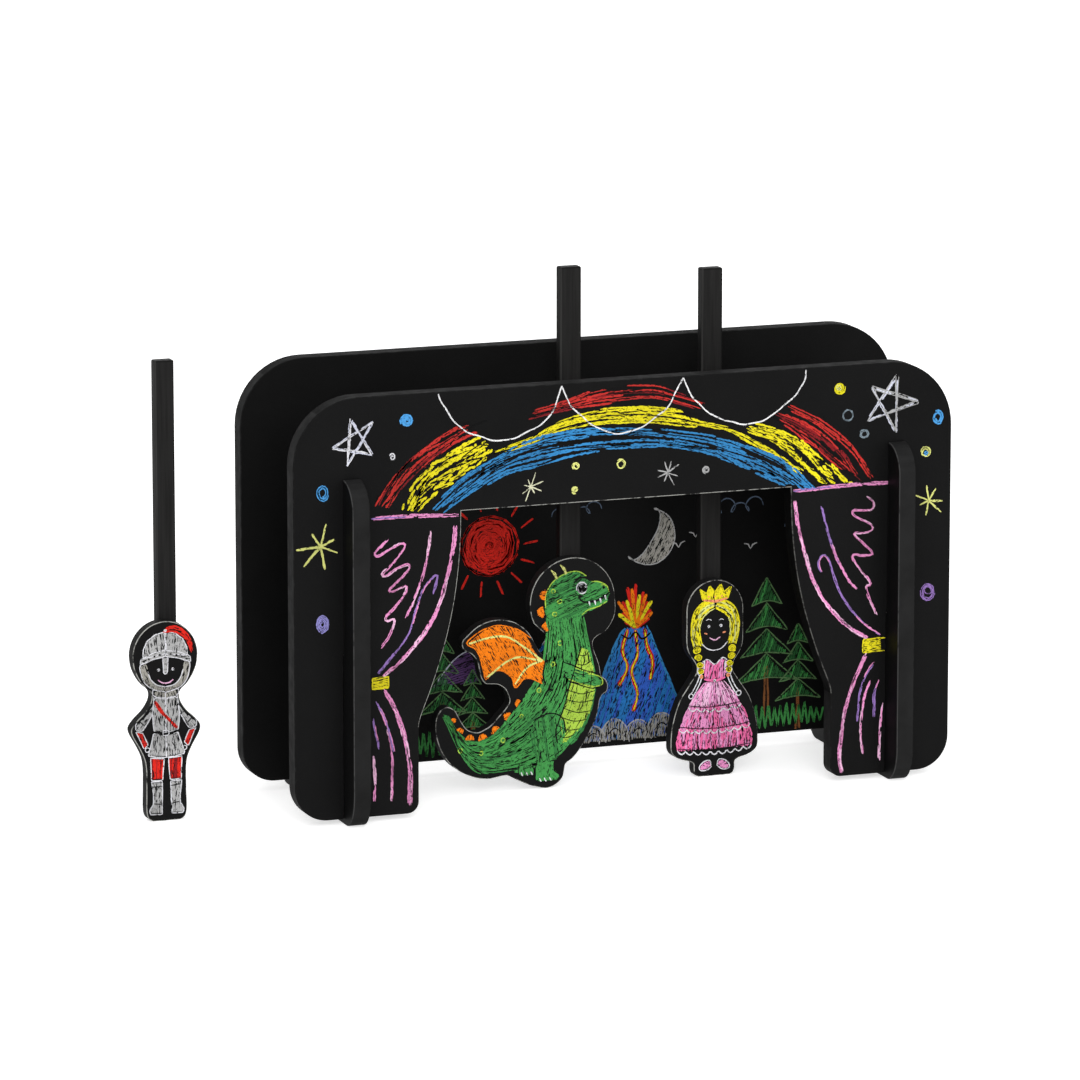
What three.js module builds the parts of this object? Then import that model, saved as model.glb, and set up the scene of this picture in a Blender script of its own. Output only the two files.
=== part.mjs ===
// Tabletop puppet theatre: two upright panels slotted onto two cross braces, and three stick puppets.
// Millimetres. X runs to the right, Y runs to the back, Z runs up from the table.
import * as THREE from 'three';

// Boards and the gap between joined pieces
const PANEL_BOARD = 8.4;
const BRACE_BOARD = 7.8;
const FIGURE_BOARD = 6.0;
const FIT_GAP = 0.3;

// Panels: the lifts are the heights of their bottom edges above the table
const FRONT_WIDTH = 300;
const FRONT_HEIGHT = 181.6;
const FRONT_LIFT = 2.3;
const BACK_OVERREACH = 1.2;
const BACK_HEIGHT = 185.1;
const BACK_LIFT = 4.3;
const BACK_MIDDLE_LIFT = 7.1;
const PANEL_PITCH = 68.7;
const TOP_RADIUS = 28.9;
const FOOT_RADIUS = 14.7;
const ARC_STEPS = 14;

// Stage opening, open at the bottom between two legs
const LEG_WIDTH = 55.4;
const LEG_CORNER = 5;
const JAMB_WIDTH = 74.8;
const HEADER_HEIGHT = 51.8;
const SHOULDER_HEIGHT = 39.7;

// The opening's side: share of the way out from the jamb to the leg, and of the way up from the shoulder
const OPENING_SIDE_SHARES = [
  [1, 0],
  [0.975, 0.03],
  [0.9, 0.075],
  [0.775, 0.14],
  [0.58, 0.25],
  [0.32, 0.43],
  [0.16, 0.585],
  [0.06, 0.74],
  [0.015, 0.87],
  [0, 1],
];

// Braces, halved into the panels
const BRACE_HEIGHT = 149;
const BRACE_OVERHANG = 13.1;
const BRACE_TOP_CORNER = 13;
const BRACE_FOOT_LENGTH = 11;
const BRACE_FOOT_RISE = 15.4;
const SEAT_HEIGHT = 74;
// Place of a brace's middle across a leg, counted from the panel's end
const BRACE_PLACE_SHARE = 0.466;

// Sticks
const STICK_DEPTH = 5.5;
const STICK_LENGTH = 184;
const STICK_WIDTH = 9.7;
const KNIGHT_STICK_WIDTH = 8.6;

// Dragon puppet
const DRAGON_TAIL_REACH = 62.9;
const DRAGON_HEAD_HEIGHT = 81.7;
const DRAGON_HEAD_RADIUS = 19.6;
const DRAGON_HEAD_START = 0;
const DRAGON_HEAD_END = 205;
const DRAGON_STICK_SHIFT = 1.4;
const DRAGON_STICK_FOOT_SHARE = 0.528;

// Princess puppet
const PRINCESS_HALF_WIDTH = 20.4;
const PRINCESS_HEAD_HEIGHT = 74.1;
const PRINCESS_HEAD_RADIUS = 13.2;
const PRINCESS_STICK_SHIFT = 0.5;
const PRINCESS_STICK_FOOT_SHARE = 0.532;

// Knight puppet
const KNIGHT_HALF_WIDTH = 15.3;
const KNIGHT_HEAD_HEIGHT = 71.5;
const KNIGHT_HEAD_HALF_WIDTH = 14.4;
const KNIGHT_HEAD_HALF_HEIGHT = 15.2;
const KNIGHT_STICK_SHIFT = 2.9;
const KNIGHT_STICK_FOOT_SHARE = 0.188;

// Where the puppets stand: shares of the stage's half width and of the room between the panels
const DRAGON_ACROSS_SHARE = -0.174;
const DRAGON_BACK_SHARE = 0.391;
const PRINCESS_ACROSS_SHARE = 0.69;
const PRINCESS_BACK_SHARE = 0.345;
const KNIGHT_BACK_SHARE = 0.403;
// The knight stands beside the theatre, this far from the back panel's end
const KNIGHT_ROOM = 30.3;

// Dragon outline from the left of its chin round to its right cheek: shares of the tail's reach to the
// right of the head's centre line, and of the head's height
const DRAGON_BODY_SHARES = [
  [-0.23, 0.86],
  [-0.18, 0.82],
  [-0.17, 0.775],
  [-0.18, 0.74],
  [-0.205, 0.725],
  [-0.235, 0.74],
  [-0.27, 0.785],
  [-0.315, 0.845],
  [-0.365, 0.885],
  [-0.425, 0.915],
  [-0.49, 0.93],
  [-0.555, 0.935],
  [-0.635, 0.925],
  [-0.705, 0.9],
  [-0.76, 0.865],
  [-0.8, 0.835],
  [-0.805, 0.81],
  [-0.79, 0.785],
  [-0.735, 0.76],
  [-0.695, 0.72],
  [-0.68, 0.67],
  [-0.665, 0.625],
  [-0.635, 0.595],
  [-0.595, 0.59],
  [-0.545, 0.585],
  [-0.495, 0.56],
  [-0.47, 0.525],
  [-0.46, 0.49],
  [-0.48, 0.46],
  [-0.535, 0.415],
  [-0.6, 0.365],
  [-0.65, 0.345],
  [-0.685, 0.335],
  [-0.73, 0.34],
  [-0.77, 0.355],
  [-0.8, 0.385],
  [-0.83, 0.425],
  [-0.855, 0.46],
  [-0.89, 0.48],
  [-0.92, 0.485],
  [-0.96, 0.47],
  [-0.99, 0.435],
  [-1, 0.385],
  [-0.995, 0.335],
  [-0.975, 0.28],
  [-0.945, 0.23],
  [-0.905, 0.185],
  [-0.85, 0.145],
  [-0.775, 0.11],
  [-0.69, 0.085],
  [-0.6, 0.078],
  [-0.53, 0.085],
  [-0.48, 0.088],
  [-0.41, 0.06],
  [-0.33, 0.03],
  [-0.25, 0.01],
  [-0.18, 0.002],
  [-0.12, 0.018],
  [-0.075, 0.05],
  [-0.06, 0.09],
  [-0.05, 0.125],
  [0.005, 0.155],
  [0.06, 0.205],
  [0.11, 0.265],
  [0.155, 0.33],
  [0.185, 0.39],
  [0.2, 0.455],
  [0.22, 0.485],
  [0.25, 0.5],
  [0.26, 0.53],
  [0.245, 0.565],
  [0.21, 0.59],
  [0.2, 0.635],
  [0.18, 0.685],
  [0.155, 0.735],
  [0.15, 0.78],
  [0.18, 0.805],
  [0.235, 0.825],
  [0.28, 0.865],
  [0.31, 0.915],
  [0.315, 0.96],
];

// Princess outline, right half from the table up: shares of the gown's half width, then of the head's
// radius, and of the head's height
const PRINCESS_GOWN_SHARES = [
  [0.355, 0],
  [0.43, 0.012],
  [0.465, 0.04],
  [0.475, 0.08],
  [0.55, 0.095],
  [0.745, 0.11],
  [0.92, 0.135],
  [0.99, 0.165],
  [1, 0.21],
  [0.98, 0.295],
  [0.9, 0.39],
  [0.78, 0.475],
  [0.625, 0.54],
  [0.49, 0.595],
  [0.415, 0.63],
  [0.41, 0.665],
];
const PRINCESS_HAIR_SHARES = [
  [0.715, 0.695],
  [0.855, 0.73],
  [0.96, 0.77],
  [1, 0.815],
  [1, 0.91],
  [1, 1],
];

// Knight outline, right half from the table up: shares of the elbows' half width, then of the helmet's
// half width, and of the helmet's height
const KNIGHT_BODY_SHARES = [
  [0.385, 0],
  [0.52, 0.017],
  [0.58, 0.055],
  [0.58, 0.175],
  [0.58, 0.32],
  [0.63, 0.385],
  [0.79, 0.46],
  [0.98, 0.535],
  [1, 0.57],
  [0.855, 0.615],
  [0.61, 0.665],
  [0.45, 0.715],
  [0.395, 0.755],
  [0.43, 0.79],
];
const KNIGHT_HELMET_SHARES = [
  [0.65, 0.825],
  [0.84, 0.88],
  [0.96, 0.94],
  [1, 1],
];

// Curve refinement
const CURVE_STEPS = 3;
const HEAD_STEPS = 22;

// Colours
const BOARD_BLACK = 0x1e1e1f;
const BRACE_BLACK = 0x222224;
const FIGURE_BLACK = 0x1c1c1d;
const STICK_BLACK = 0x262627;

// Places that several pieces share
const halfFront = FRONT_WIDTH / 2;
const halfBack = halfFront + BACK_OVERREACH;
const halfStage = halfFront - JAMB_WIDTH;
const braceOffset = halfFront - LEG_WIDTH * BRACE_PLACE_SHARE;
const roomFront = PANEL_BOARD;
const room = PANEL_PITCH - PANEL_BOARD;

// Points on an arc, angles in degrees
function arc(centreX, centreY, radiusX, radiusY, from, to, steps) {
  const points = [];
  for (let i = 0; i <= steps; i += 1) {
    const angle = THREE.MathUtils.degToRad(from + ((to - from) * i) / steps);
    points.push(new THREE.Vector2(centreX + radiusX * Math.cos(angle), centreY + radiusY * Math.sin(angle)));
  }
  return points;
}

// Points of a table of shares at their real size
function sized(shares, width, height) {
  return shares.map(([across, up]) => new THREE.Vector2(across * width, up * height));
}

// A smooth open line through points
function smooth(points) {
  const knots = points.map((p) => new THREE.Vector3(p.x, p.y, 0));
  const curve = new THREE.CatmullRomCurve3(knots, false, 'centripetal');
  return curve.getPoints((knots.length - 1) * CURVE_STEPS).map((p) => new THREE.Vector2(p.x, p.y));
}

// The same points on the other side of the centre line, in the same order
function flipped(points) {
  return points.map((p) => new THREE.Vector2(-p.x, p.y));
}

// The same points moved along X
function shifted(points, x) {
  return points.map((p) => new THREE.Vector2(p.x + x, p.y));
}

// A board standing across the theatre: outline in X and Z, front face at y = front
function uprightBoard(outline, front, thickness) {
  const shape = new THREE.Shape(outline);
  const geometry = new THREE.ExtrudeGeometry(shape, { depth: thickness, bevelEnabled: false, steps: 1 });
  geometry.rotateX(Math.PI / 2);
  geometry.translate(0, front + thickness, 0);
  return geometry;
}

// A board standing along the theatre: outline in Y and Z, middle of its thickness at x = centre
function crossBoard(outline, centre, thickness) {
  const shape = new THREE.Shape(outline);
  const geometry = new THREE.ExtrudeGeometry(shape, { depth: thickness, bevelEnabled: false, steps: 1 });
  const turn = new THREE.Matrix4().makeBasis(
    new THREE.Vector3(0, 1, 0),
    new THREE.Vector3(0, 0, 1),
    new THREE.Vector3(1, 0, 0),
  );
  geometry.applyMatrix4(turn);
  geometry.translate(centre - thickness / 2, 0, 0);
  return geometry;
}

function piece(name, geometry, color, roughness) {
  const material = new THREE.MeshStandardMaterial({ color, roughness, metalness: 0 });
  const mesh = new THREE.Mesh(geometry, material);
  mesh.name = name;
  return mesh;
}

// The slot for a brace, seen from the front, cut up from a panel's bottom edge
function slot(centre, leftBottom, rightBottom) {
  const half = (BRACE_BOARD + FIT_GAP) / 2;
  const top = SEAT_HEIGHT + FIT_GAP / 2;
  return [
    new THREE.Vector2(centre - half, leftBottom),
    new THREE.Vector2(centre - half, top),
    new THREE.Vector2(centre + half, top),
    new THREE.Vector2(centre + half, rightBottom),
  ];
}

// Outer edge of a panel from its right bottom corner, over the top, to its left bottom corner
function panelRim(half, bottom, top) {
  const foot = FOOT_RADIUS;
  const head = TOP_RADIUS;
  return [
    ...arc(half - foot, bottom + foot, foot, foot, -90, 0, ARC_STEPS),
    ...arc(half - head, top - head, head, head, 0, 90, ARC_STEPS),
    ...arc(-half + head, top - head, head, head, 90, 180, ARC_STEPS),
    ...arc(-half + foot, bottom + foot, foot, foot, 180, 270, ARC_STEPS),
  ];
}

// Half of the stage opening: from the right leg's bottom up to the right end of its top edge
function openingRight(bottom, top) {
  const legEdge = halfFront - LEG_WIDTH;
  const rise = top - HEADER_HEIGHT - SHOULDER_HEIGHT;
  const side = sized(OPENING_SIDE_SHARES, legEdge - halfStage, rise);
  const placed = side.map((p) => new THREE.Vector2(halfStage + p.x, SHOULDER_HEIGHT + p.y));
  const foot = arc(legEdge + LEG_CORNER, bottom + LEG_CORNER, LEG_CORNER, LEG_CORNER, 270, 180, ARC_STEPS);
  return [...foot, ...smooth(placed)];
}

function frontPanel() {
  const bottom = FRONT_LIFT;
  const top = bottom + FRONT_HEIGHT;
  const right = openingRight(bottom, top);
  const outline = [
    ...slot(-braceOffset, bottom, bottom),
    ...flipped(right),
    ...right.slice().reverse(),
    ...slot(braceOffset, bottom, bottom),
    ...panelRim(halfFront, bottom, top),
  ];
  return uprightBoard(outline, 0, PANEL_BOARD);
}

// The back panel's ends reach a little lower than its middle
function backPanel() {
  const outline = [
    ...slot(-braceOffset, BACK_LIFT, BACK_MIDDLE_LIFT),
    ...slot(braceOffset, BACK_MIDDLE_LIFT, BACK_LIFT),
    ...panelRim(halfBack, BACK_LIFT, BACK_LIFT + BACK_HEIGHT),
  ];
  return uprightBoard(outline, PANEL_PITCH, PANEL_BOARD);
}

// The notch for a panel, seen from the side, cut down from a brace's top edge
function notch(front) {
  const low = front - FIT_GAP / 2;
  const high = front + PANEL_BOARD + FIT_GAP / 2;
  const seat = SEAT_HEIGHT - FIT_GAP / 2;
  return [
    new THREE.Vector2(high, BRACE_HEIGHT),
    new THREE.Vector2(high, seat),
    new THREE.Vector2(low, seat),
    new THREE.Vector2(low, BRACE_HEIGHT),
  ];
}

// The ends that stand out before and behind the panels are rounded off across their whole length
function brace(centre) {
  const front = -BRACE_OVERHANG;
  const back = PANEL_PITCH + PANEL_BOARD + BRACE_OVERHANG;
  const tip = BRACE_OVERHANG - FIT_GAP / 2;
  const corner = BRACE_TOP_CORNER;
  const shoulder = BRACE_HEIGHT - corner;
  const toe = BRACE_FOOT_LENGTH;
  const rise = BRACE_FOOT_RISE;
  const outline = [
    ...arc(back - toe, rise, toe, rise, -90, 0, ARC_STEPS),
    ...arc(back - tip, shoulder, tip, corner, 0, 90, ARC_STEPS).slice(0, -1),
    ...notch(PANEL_PITCH),
    ...notch(0),
    ...arc(front + tip, shoulder, tip, corner, 90, 180, ARC_STEPS).slice(1),
    ...arc(front + toe, rise, toe, rise, 180, 270, ARC_STEPS),
  ];
  return crossBoard(outline, centre, BRACE_BOARD);
}

function dragonOutline() {
  const r = DRAGON_HEAD_RADIUS;
  const head = arc(0, DRAGON_HEAD_HEIGHT, r, r, DRAGON_HEAD_START, DRAGON_HEAD_END, HEAD_STEPS);
  const body = sized(DRAGON_BODY_SHARES, DRAGON_TAIL_REACH, DRAGON_HEAD_HEIGHT);
  return [...head, ...smooth([head[head.length - 1], ...body, head[0]]).slice(1, -1)];
}

// A figure that is alike on both sides, under a round head
function evenOutline(side, height, headHalfWidth, headHalfHeight) {
  const edge = smooth(side);
  const head = arc(0, height, headHalfWidth, headHalfHeight, 0, 180, HEAD_STEPS).slice(1, -1);
  return [...edge, ...head, ...flipped(edge).reverse()];
}

function princessOutline() {
  const side = [
    ...sized(PRINCESS_GOWN_SHARES, PRINCESS_HALF_WIDTH, PRINCESS_HEAD_HEIGHT),
    ...sized(PRINCESS_HAIR_SHARES, PRINCESS_HEAD_RADIUS, PRINCESS_HEAD_HEIGHT),
  ];
  return evenOutline(side, PRINCESS_HEAD_HEIGHT, PRINCESS_HEAD_RADIUS, PRINCESS_HEAD_RADIUS);
}

function knightOutline() {
  const side = [
    ...sized(KNIGHT_BODY_SHARES, KNIGHT_HALF_WIDTH, KNIGHT_HEAD_HEIGHT),
    ...sized(KNIGHT_HELMET_SHARES, KNIGHT_HEAD_HALF_WIDTH, KNIGHT_HEAD_HEIGHT),
  ];
  return evenOutline(side, KNIGHT_HEAD_HEIGHT, KNIGHT_HEAD_HALF_WIDTH, KNIGHT_HEAD_HALF_HEIGHT);
}

// A stick glued upright on the back of a figure
function stick(x, width, figureFront, foot) {
  const geometry = new THREE.BoxGeometry(width, STICK_DEPTH, STICK_LENGTH);
  const y = figureFront + FIGURE_BOARD + FIT_GAP + STICK_DEPTH / 2;
  geometry.translate(x, y, foot + STICK_LENGTH / 2);
  return geometry;
}

// A puppet: a figure cut from board, and its stick
function puppet(name, outline, x, front, stickX, stickWidth, stickFoot) {
  const group = new THREE.Group();
  group.name = name;
  group.add(
    piece(`${name}_figure`, uprightBoard(shifted(outline, x), front, FIGURE_BOARD), FIGURE_BLACK, 0.75),
    piece(`${name}_stick`, stick(stickX, stickWidth, front, stickFoot), STICK_BLACK, 0.8),
  );
  return group;
}

const stand = new THREE.Group();
stand.name = 'stand';
stand.add(
  piece('front_panel', frontPanel(), BOARD_BLACK, 0.8),
  piece('back_panel', backPanel(), BOARD_BLACK, 0.8),
  piece('left_brace', brace(-braceOffset), BRACE_BLACK, 0.8),
  piece('right_brace', brace(braceOffset), BRACE_BLACK, 0.8),
);

const dragonX = halfStage * DRAGON_ACROSS_SHARE;
const dragon = puppet(
  'dragon',
  dragonOutline(),
  dragonX,
  roomFront + room * DRAGON_BACK_SHARE,
  dragonX + DRAGON_STICK_SHIFT,
  STICK_WIDTH,
  DRAGON_HEAD_HEIGHT * DRAGON_STICK_FOOT_SHARE,
);

const princessX = halfStage * PRINCESS_ACROSS_SHARE;
const princess = puppet(
  'princess',
  princessOutline(),
  princessX,
  roomFront + room * PRINCESS_BACK_SHARE,
  princessX + PRINCESS_STICK_SHIFT,
  STICK_WIDTH,
  PRINCESS_HEAD_HEIGHT * PRINCESS_STICK_FOOT_SHARE,
);

const knightX = -halfBack - KNIGHT_ROOM - KNIGHT_HALF_WIDTH;
const knight = puppet(
  'knight',
  knightOutline(),
  knightX,
  roomFront + room * KNIGHT_BACK_SHARE,
  knightX + KNIGHT_STICK_SHIFT,
  KNIGHT_STICK_WIDTH,
  KNIGHT_HEAD_HEIGHT * KNIGHT_STICK_FOOT_SHARE,
);

// The origin is on the table at the middle of the whole set's width and depth
const setLeft = knightX - KNIGHT_HALF_WIDTH;
const setRight = halfBack;
const setFront = -BRACE_OVERHANG;
const setBack = PANEL_PITCH + PANEL_BOARD + BRACE_OVERHANG;
const theatre = new THREE.Group();
theatre.name = 'puppet_theatre';
theatre.position.set(-(setLeft + setRight) / 2, -(setFront + setBack) / 2, 0);
theatre.add(stand, dragon, princess, knight);

export default theatre;
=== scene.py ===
import math
import random

import bmesh
import bpy
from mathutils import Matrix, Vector


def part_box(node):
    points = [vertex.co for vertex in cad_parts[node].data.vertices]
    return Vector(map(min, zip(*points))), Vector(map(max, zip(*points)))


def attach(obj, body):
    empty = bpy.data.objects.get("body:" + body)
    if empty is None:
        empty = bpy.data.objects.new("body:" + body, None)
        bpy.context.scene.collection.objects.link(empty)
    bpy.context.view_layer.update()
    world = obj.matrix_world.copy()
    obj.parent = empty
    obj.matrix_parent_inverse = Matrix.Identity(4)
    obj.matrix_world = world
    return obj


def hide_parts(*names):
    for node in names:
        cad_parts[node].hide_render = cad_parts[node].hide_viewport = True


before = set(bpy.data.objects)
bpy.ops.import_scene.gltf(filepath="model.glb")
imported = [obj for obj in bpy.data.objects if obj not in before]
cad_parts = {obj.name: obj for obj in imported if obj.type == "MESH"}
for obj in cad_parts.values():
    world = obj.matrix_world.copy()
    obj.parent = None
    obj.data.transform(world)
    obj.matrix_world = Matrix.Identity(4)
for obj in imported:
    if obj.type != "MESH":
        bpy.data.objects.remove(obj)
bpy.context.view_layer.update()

# Units: drawings are in millimetres, the scene is in metres
MM = 0.001

# Camera
CAMERA_PLACE = (-1.02601, -2.81973, 0.72382)
CAMERA_LENS = 236.93
CAMERA_TURN = math.radians(-20.08)
CAMERA_TILT = math.radians(90 - 11.58)
SENSOR = 36.0
CLIP_END = 40.0

# Boards: how much their edges are eased, what counts as one point, one plane and a sharp edge, and how much
# of a face's normal points up on a top edge at least, through the board on its front at least, and through
# the board on a side at most
PANEL_EASE = 0.38 * MM
FIGURE_EASE = 0.32 * MM
STICK_EASE = 0.7 * MM
SAME_POINT = 0.002 * MM
SAME_PLANE = math.radians(0.3)
SHARP_TURN = math.radians(40)
LEVEL = 0.75
FLAT_ON = 0.995
SIDE_ON = 0.5

# Scratched lines: how far they stand out of the coat, by layer and by order, how deep they are rooted in it,
# and how near a board's rim they come
LINE_PROUD = 0.05
LAYER_STEP = 0.02
ORDER_STEP = 0.003
LINE_ROOT = 0.06
FLECK_LAYER = 8
RIM_GAP = 0.3
STROKE_PLACE = "stroke_place"
PATTERN_STEP = 0.37

# Distances between the stations of a line, of a hatched run, of a fleck and of a band's second side, and the
# steps of a curve between two points, of a ring and of a scribble in one turn
STATION = 1.0
HATCH_STEP = 0.6
FLECK_STEP = 0.8
BAND_STEP = 0.2
CURVE_STEPS = 8
RING_STEPS = 14
SCRIBBLE_STEPS = 12

# How scratches vary: widths and lengths in millimetres or as shares, turns in degrees, phases in radians
PHASES = 6.3
PACES = ((0.15, 0.3), (0.45, 0.75), (0.3, 0.6))
SWELL = 0.1
HATCH_DRIFT = 0.1
HATCH_WIDTHS = (0.8, 1.15)
FLECK_TURN = 7
FLECK_REACH = (0.5, 1.7)
FLECK_WIDTHS = (0.26, 0.46)
STRAND_WIDTHS = (0.72, 1.12)
THINNEST, BROADEST = 0.3, 1.3
STRAND_BREAK = (-0.03, 0.02)
SLIT_LENGTHS = (1.2, 3.4)
SLIT_WIDTHS = (0.28, 0.4)
CHALK_STRAND = 0.5
CHALK_RUN = (4, 15)
CHALK_DRIFT = 0.13
CHALK_WIDTHS = (0.9, 1.35)
SCRIBBLE_REACH = (0.92, 1.06)
RAY_TURN = 0.15
RAY_REACH = (0.5, 1.05)
RAY_BACK = 0.12
RAY_WIDTHS = (0.75, 1.2)

# Gloss, and the noise levels that take up its whole range
COAT_SHEEN = 0.06
EDGE_SHEEN = 0.025
TOP_SHEEN = 0.008
SCRATCH_SHEEN = 0.12
NOISE_LOW = 0.3
NOISE_HIGH = 0.7


# Colours and places

def linear(colour):
    out = [value / 12.92 if value <= 0.04045 else ((value + 0.055) / 1.055) ** 2.4 for value in colour]
    return (*out, 1.0)


def shade(colour, amount):
    return tuple(min(1.0, value * amount) for value in colour)


def blend_points(a, b, share):
    return (a[0] + (b[0] - a[0]) * share, a[1] + (b[1] - a[1]) * share)


def polar(centre, reach, angle, squeeze=1.0):
    """The place at a reach from a centre, at an angle in radians."""
    return (centre[0] + reach * math.cos(angle), centre[1] + reach * squeeze * math.sin(angle))


# Materials

def plug(tree, node, **inputs):
    """Sets a node's inputs, each to a value or to another node's output."""
    for name, value in inputs.items():
        socket = node.inputs[name.replace("_", " ")]
        if isinstance(value, bpy.types.NodeSocket):
            tree.links.new(value, socket)
        else:
            socket.default_value = value
    return node


def add_node(tree, kind, **inputs):
    """A new node with its inputs set."""
    return plug(tree, tree.nodes.new(kind), **inputs)


class Surface:
    """A principled material with procedural colour, gloss and grain in object space."""

    def __init__(self, name, sheen):
        self.material = bpy.data.materials.new(name)
        self.material.use_nodes = True
        self.tree = self.material.node_tree
        self.shader = plug(self.tree, self.tree.nodes["Principled BSDF"], Specular_IOR_Level=sheen)
        self.place = add_node(self.tree, "ShaderNodeTexCoord").outputs["Object"]

    def noise(self, scale, detail=4.0, roughness=0.6, stretch=(1, 1, 1), place=None):
        start = self.place if place is None else place
        spot = add_node(self.tree, "ShaderNodeMapping", Vector=start, Scale=stretch).outputs["Vector"]
        node = add_node(self.tree, "ShaderNodeTexNoise", Vector=spot, Scale=scale, Detail=detail,
                        Roughness=roughness)
        return node.outputs["Fac"]

    def streaks(self, stretch, detail, roughness):
        """Noise that runs along each scratch, from the place along and across it that its mesh keeps."""
        place = add_node(self.tree, "ShaderNodeAttribute")
        place.attribute_name = STROKE_PLACE
        return self.noise(1.0, detail, roughness, stretch, place.outputs["Vector"])

    def ramp(self, source, stops):
        node = add_node(self.tree, "ShaderNodeValToRGB", Fac=source)
        for mark, (place, colour) in zip(node.color_ramp.elements, stops):
            mark.position = place
            mark.color = linear(colour)
        return node.outputs["Color"]

    def mix(self, share, a, b, mode="MIX"):
        node = add_node(self.tree, "ShaderNodeMix")
        node.data_type = "RGBA"
        node.blend_type = mode
        return plug(self.tree, node, Factor=share, A=a, B=b).outputs["Result"]

    def finish(self, colour, gloss, bump):
        """gloss is a noise and its lowest and highest roughness; bump is a noise, a depth and a strength."""
        source, low, high = gloss
        level = add_node(self.tree, "ShaderNodeMapRange", Value=source, From_Min=NOISE_LOW,
                         From_Max=NOISE_HIGH, To_Min=low, To_Max=high)
        height, depth, strength = bump
        relief = add_node(self.tree, "ShaderNodeBump", Height=height, Distance=depth * MM, Strength=strength)
        plug(self.tree, self.shader, Base_Color=colour, Roughness=level.outputs["Result"],
             Normal=relief.outputs["Normal"])
        return self.material


def coat(name, dark, light):
    """Matt black scratch coat: clouded, faintly pitted, with a dusting of paler specks."""
    surface = Surface(name, COAT_SHEEN)
    clouds = surface.ramp(surface.noise(28), [(0.35, dark), (0.7, light)])
    specks = surface.ramp(surface.noise(1500, 2), [(0.5, dark), (0.78, shade(light, 1.5))])
    tones = surface.mix(0.35, clouds, specks)
    return surface.finish(tones, (surface.noise(120), 0.49, 0.55), (surface.noise(1100, 6), 0.02, 0.5))


def cut_edge(name, dark, light, sheen=EDGE_SHEEN):
    """Sawn edge of the board: layers that run along it, under a thin black coat."""
    surface = Surface(name, sheen)
    layers = surface.noise(900, 3, 0.5, (0.08, 1, 0.08))
    clouds = surface.ramp(surface.noise(60), [(0.3, dark), (0.75, light)])
    tones = surface.mix(0.5, clouds, surface.ramp(layers, [(0.3, dark), (0.7, light)]))
    return surface.finish(tones, (surface.noise(200), 0.5, 0.7), (layers, 0.04, 0.5))


def rim_wear_and_light(name, dark, light, cover):
    """Eased edge where the coat has chipped to a thin broken line of the grey board. Its tones carry painted
    shade on the window's right rim and a painted highlight on the braces' rims.
    """
    surface = Surface(name, EDGE_SHEEN)
    chips = surface.noise(260, 4, 0.65)
    tones = surface.ramp(chips, [(cover, dark), (cover + 0.12, light)])
    return surface.finish(tones, (surface.noise(400), 0.5, 0.75), (chips, 0.03, 0.6))


def stained_wood(name, dark, light):
    """Craft stick stained black: fine grain that runs up the stick."""
    surface = Surface(name, EDGE_SHEEN)
    grain = surface.noise(700, 5, 0.6, (1, 1, 0.04))
    clouds = surface.ramp(surface.noise(40, 3, 0.5, (1, 1, 0.3)), [(0.3, dark), (0.75, light)])
    tones = surface.mix(0.55, clouds, surface.ramp(grain, [(0.35, shade(dark, 0.8)), (0.7, light)]))
    return surface.finish(tones, (grain, 0.42, 0.62), (grain, 0.05, 0.6))


def scratched(name, colour):
    """Colour laid bare by scratching: patchy, with crumbs of black coat left along each scratch."""
    surface = Surface(name, SCRATCH_SHEEN)
    tones = surface.ramp(surface.noise(45, 3), [(0.3, shade(colour, 0.86)), (0.7, shade(colour, 1.08))])
    crumbs = surface.streaks((700, 1700, 1), 3, 0.65)
    bare = surface.ramp(crumbs, [(0.37, CRUMB_BLACK), (0.44, (1, 1, 1))])
    tones = surface.mix(1.0, tones, bare, "MULTIPLY")
    return surface.finish(tones, (surface.noise(300), 0.45, 0.7), (crumbs, 0.03, 0.5))


# Boards: a copy of the CAD board with eased edges and its own finish on faces, cut edges and rims

# The last two finishes, a dimmer rim and a darker cut edge, are painted shade for the window's right side
FACE, CUT, TOP, RIM, SOFT_RIM, SHADED_WINDOW_RIM, SHADED_CUT = range(7)


def merged(mesh):
    """A mesh to work on, with doubled points merged and every flat face in one piece."""
    work = bmesh.new()
    work.from_mesh(mesh)
    bmesh.ops.remove_doubles(work, verts=work.verts, dist=SAME_POINT)
    bmesh.ops.dissolve_limit(work, angle_limit=SAME_PLANE, verts=work.verts, edges=work.edges)
    return work


def new_object(name, data):
    piece = bpy.data.objects.new(name, data)
    bpy.context.scene.collection.objects.link(piece)
    return piece


def all_round(x, z):
    """Front rim and cut edge that are the same everywhere on a board."""
    return RIM, CUT


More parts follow.
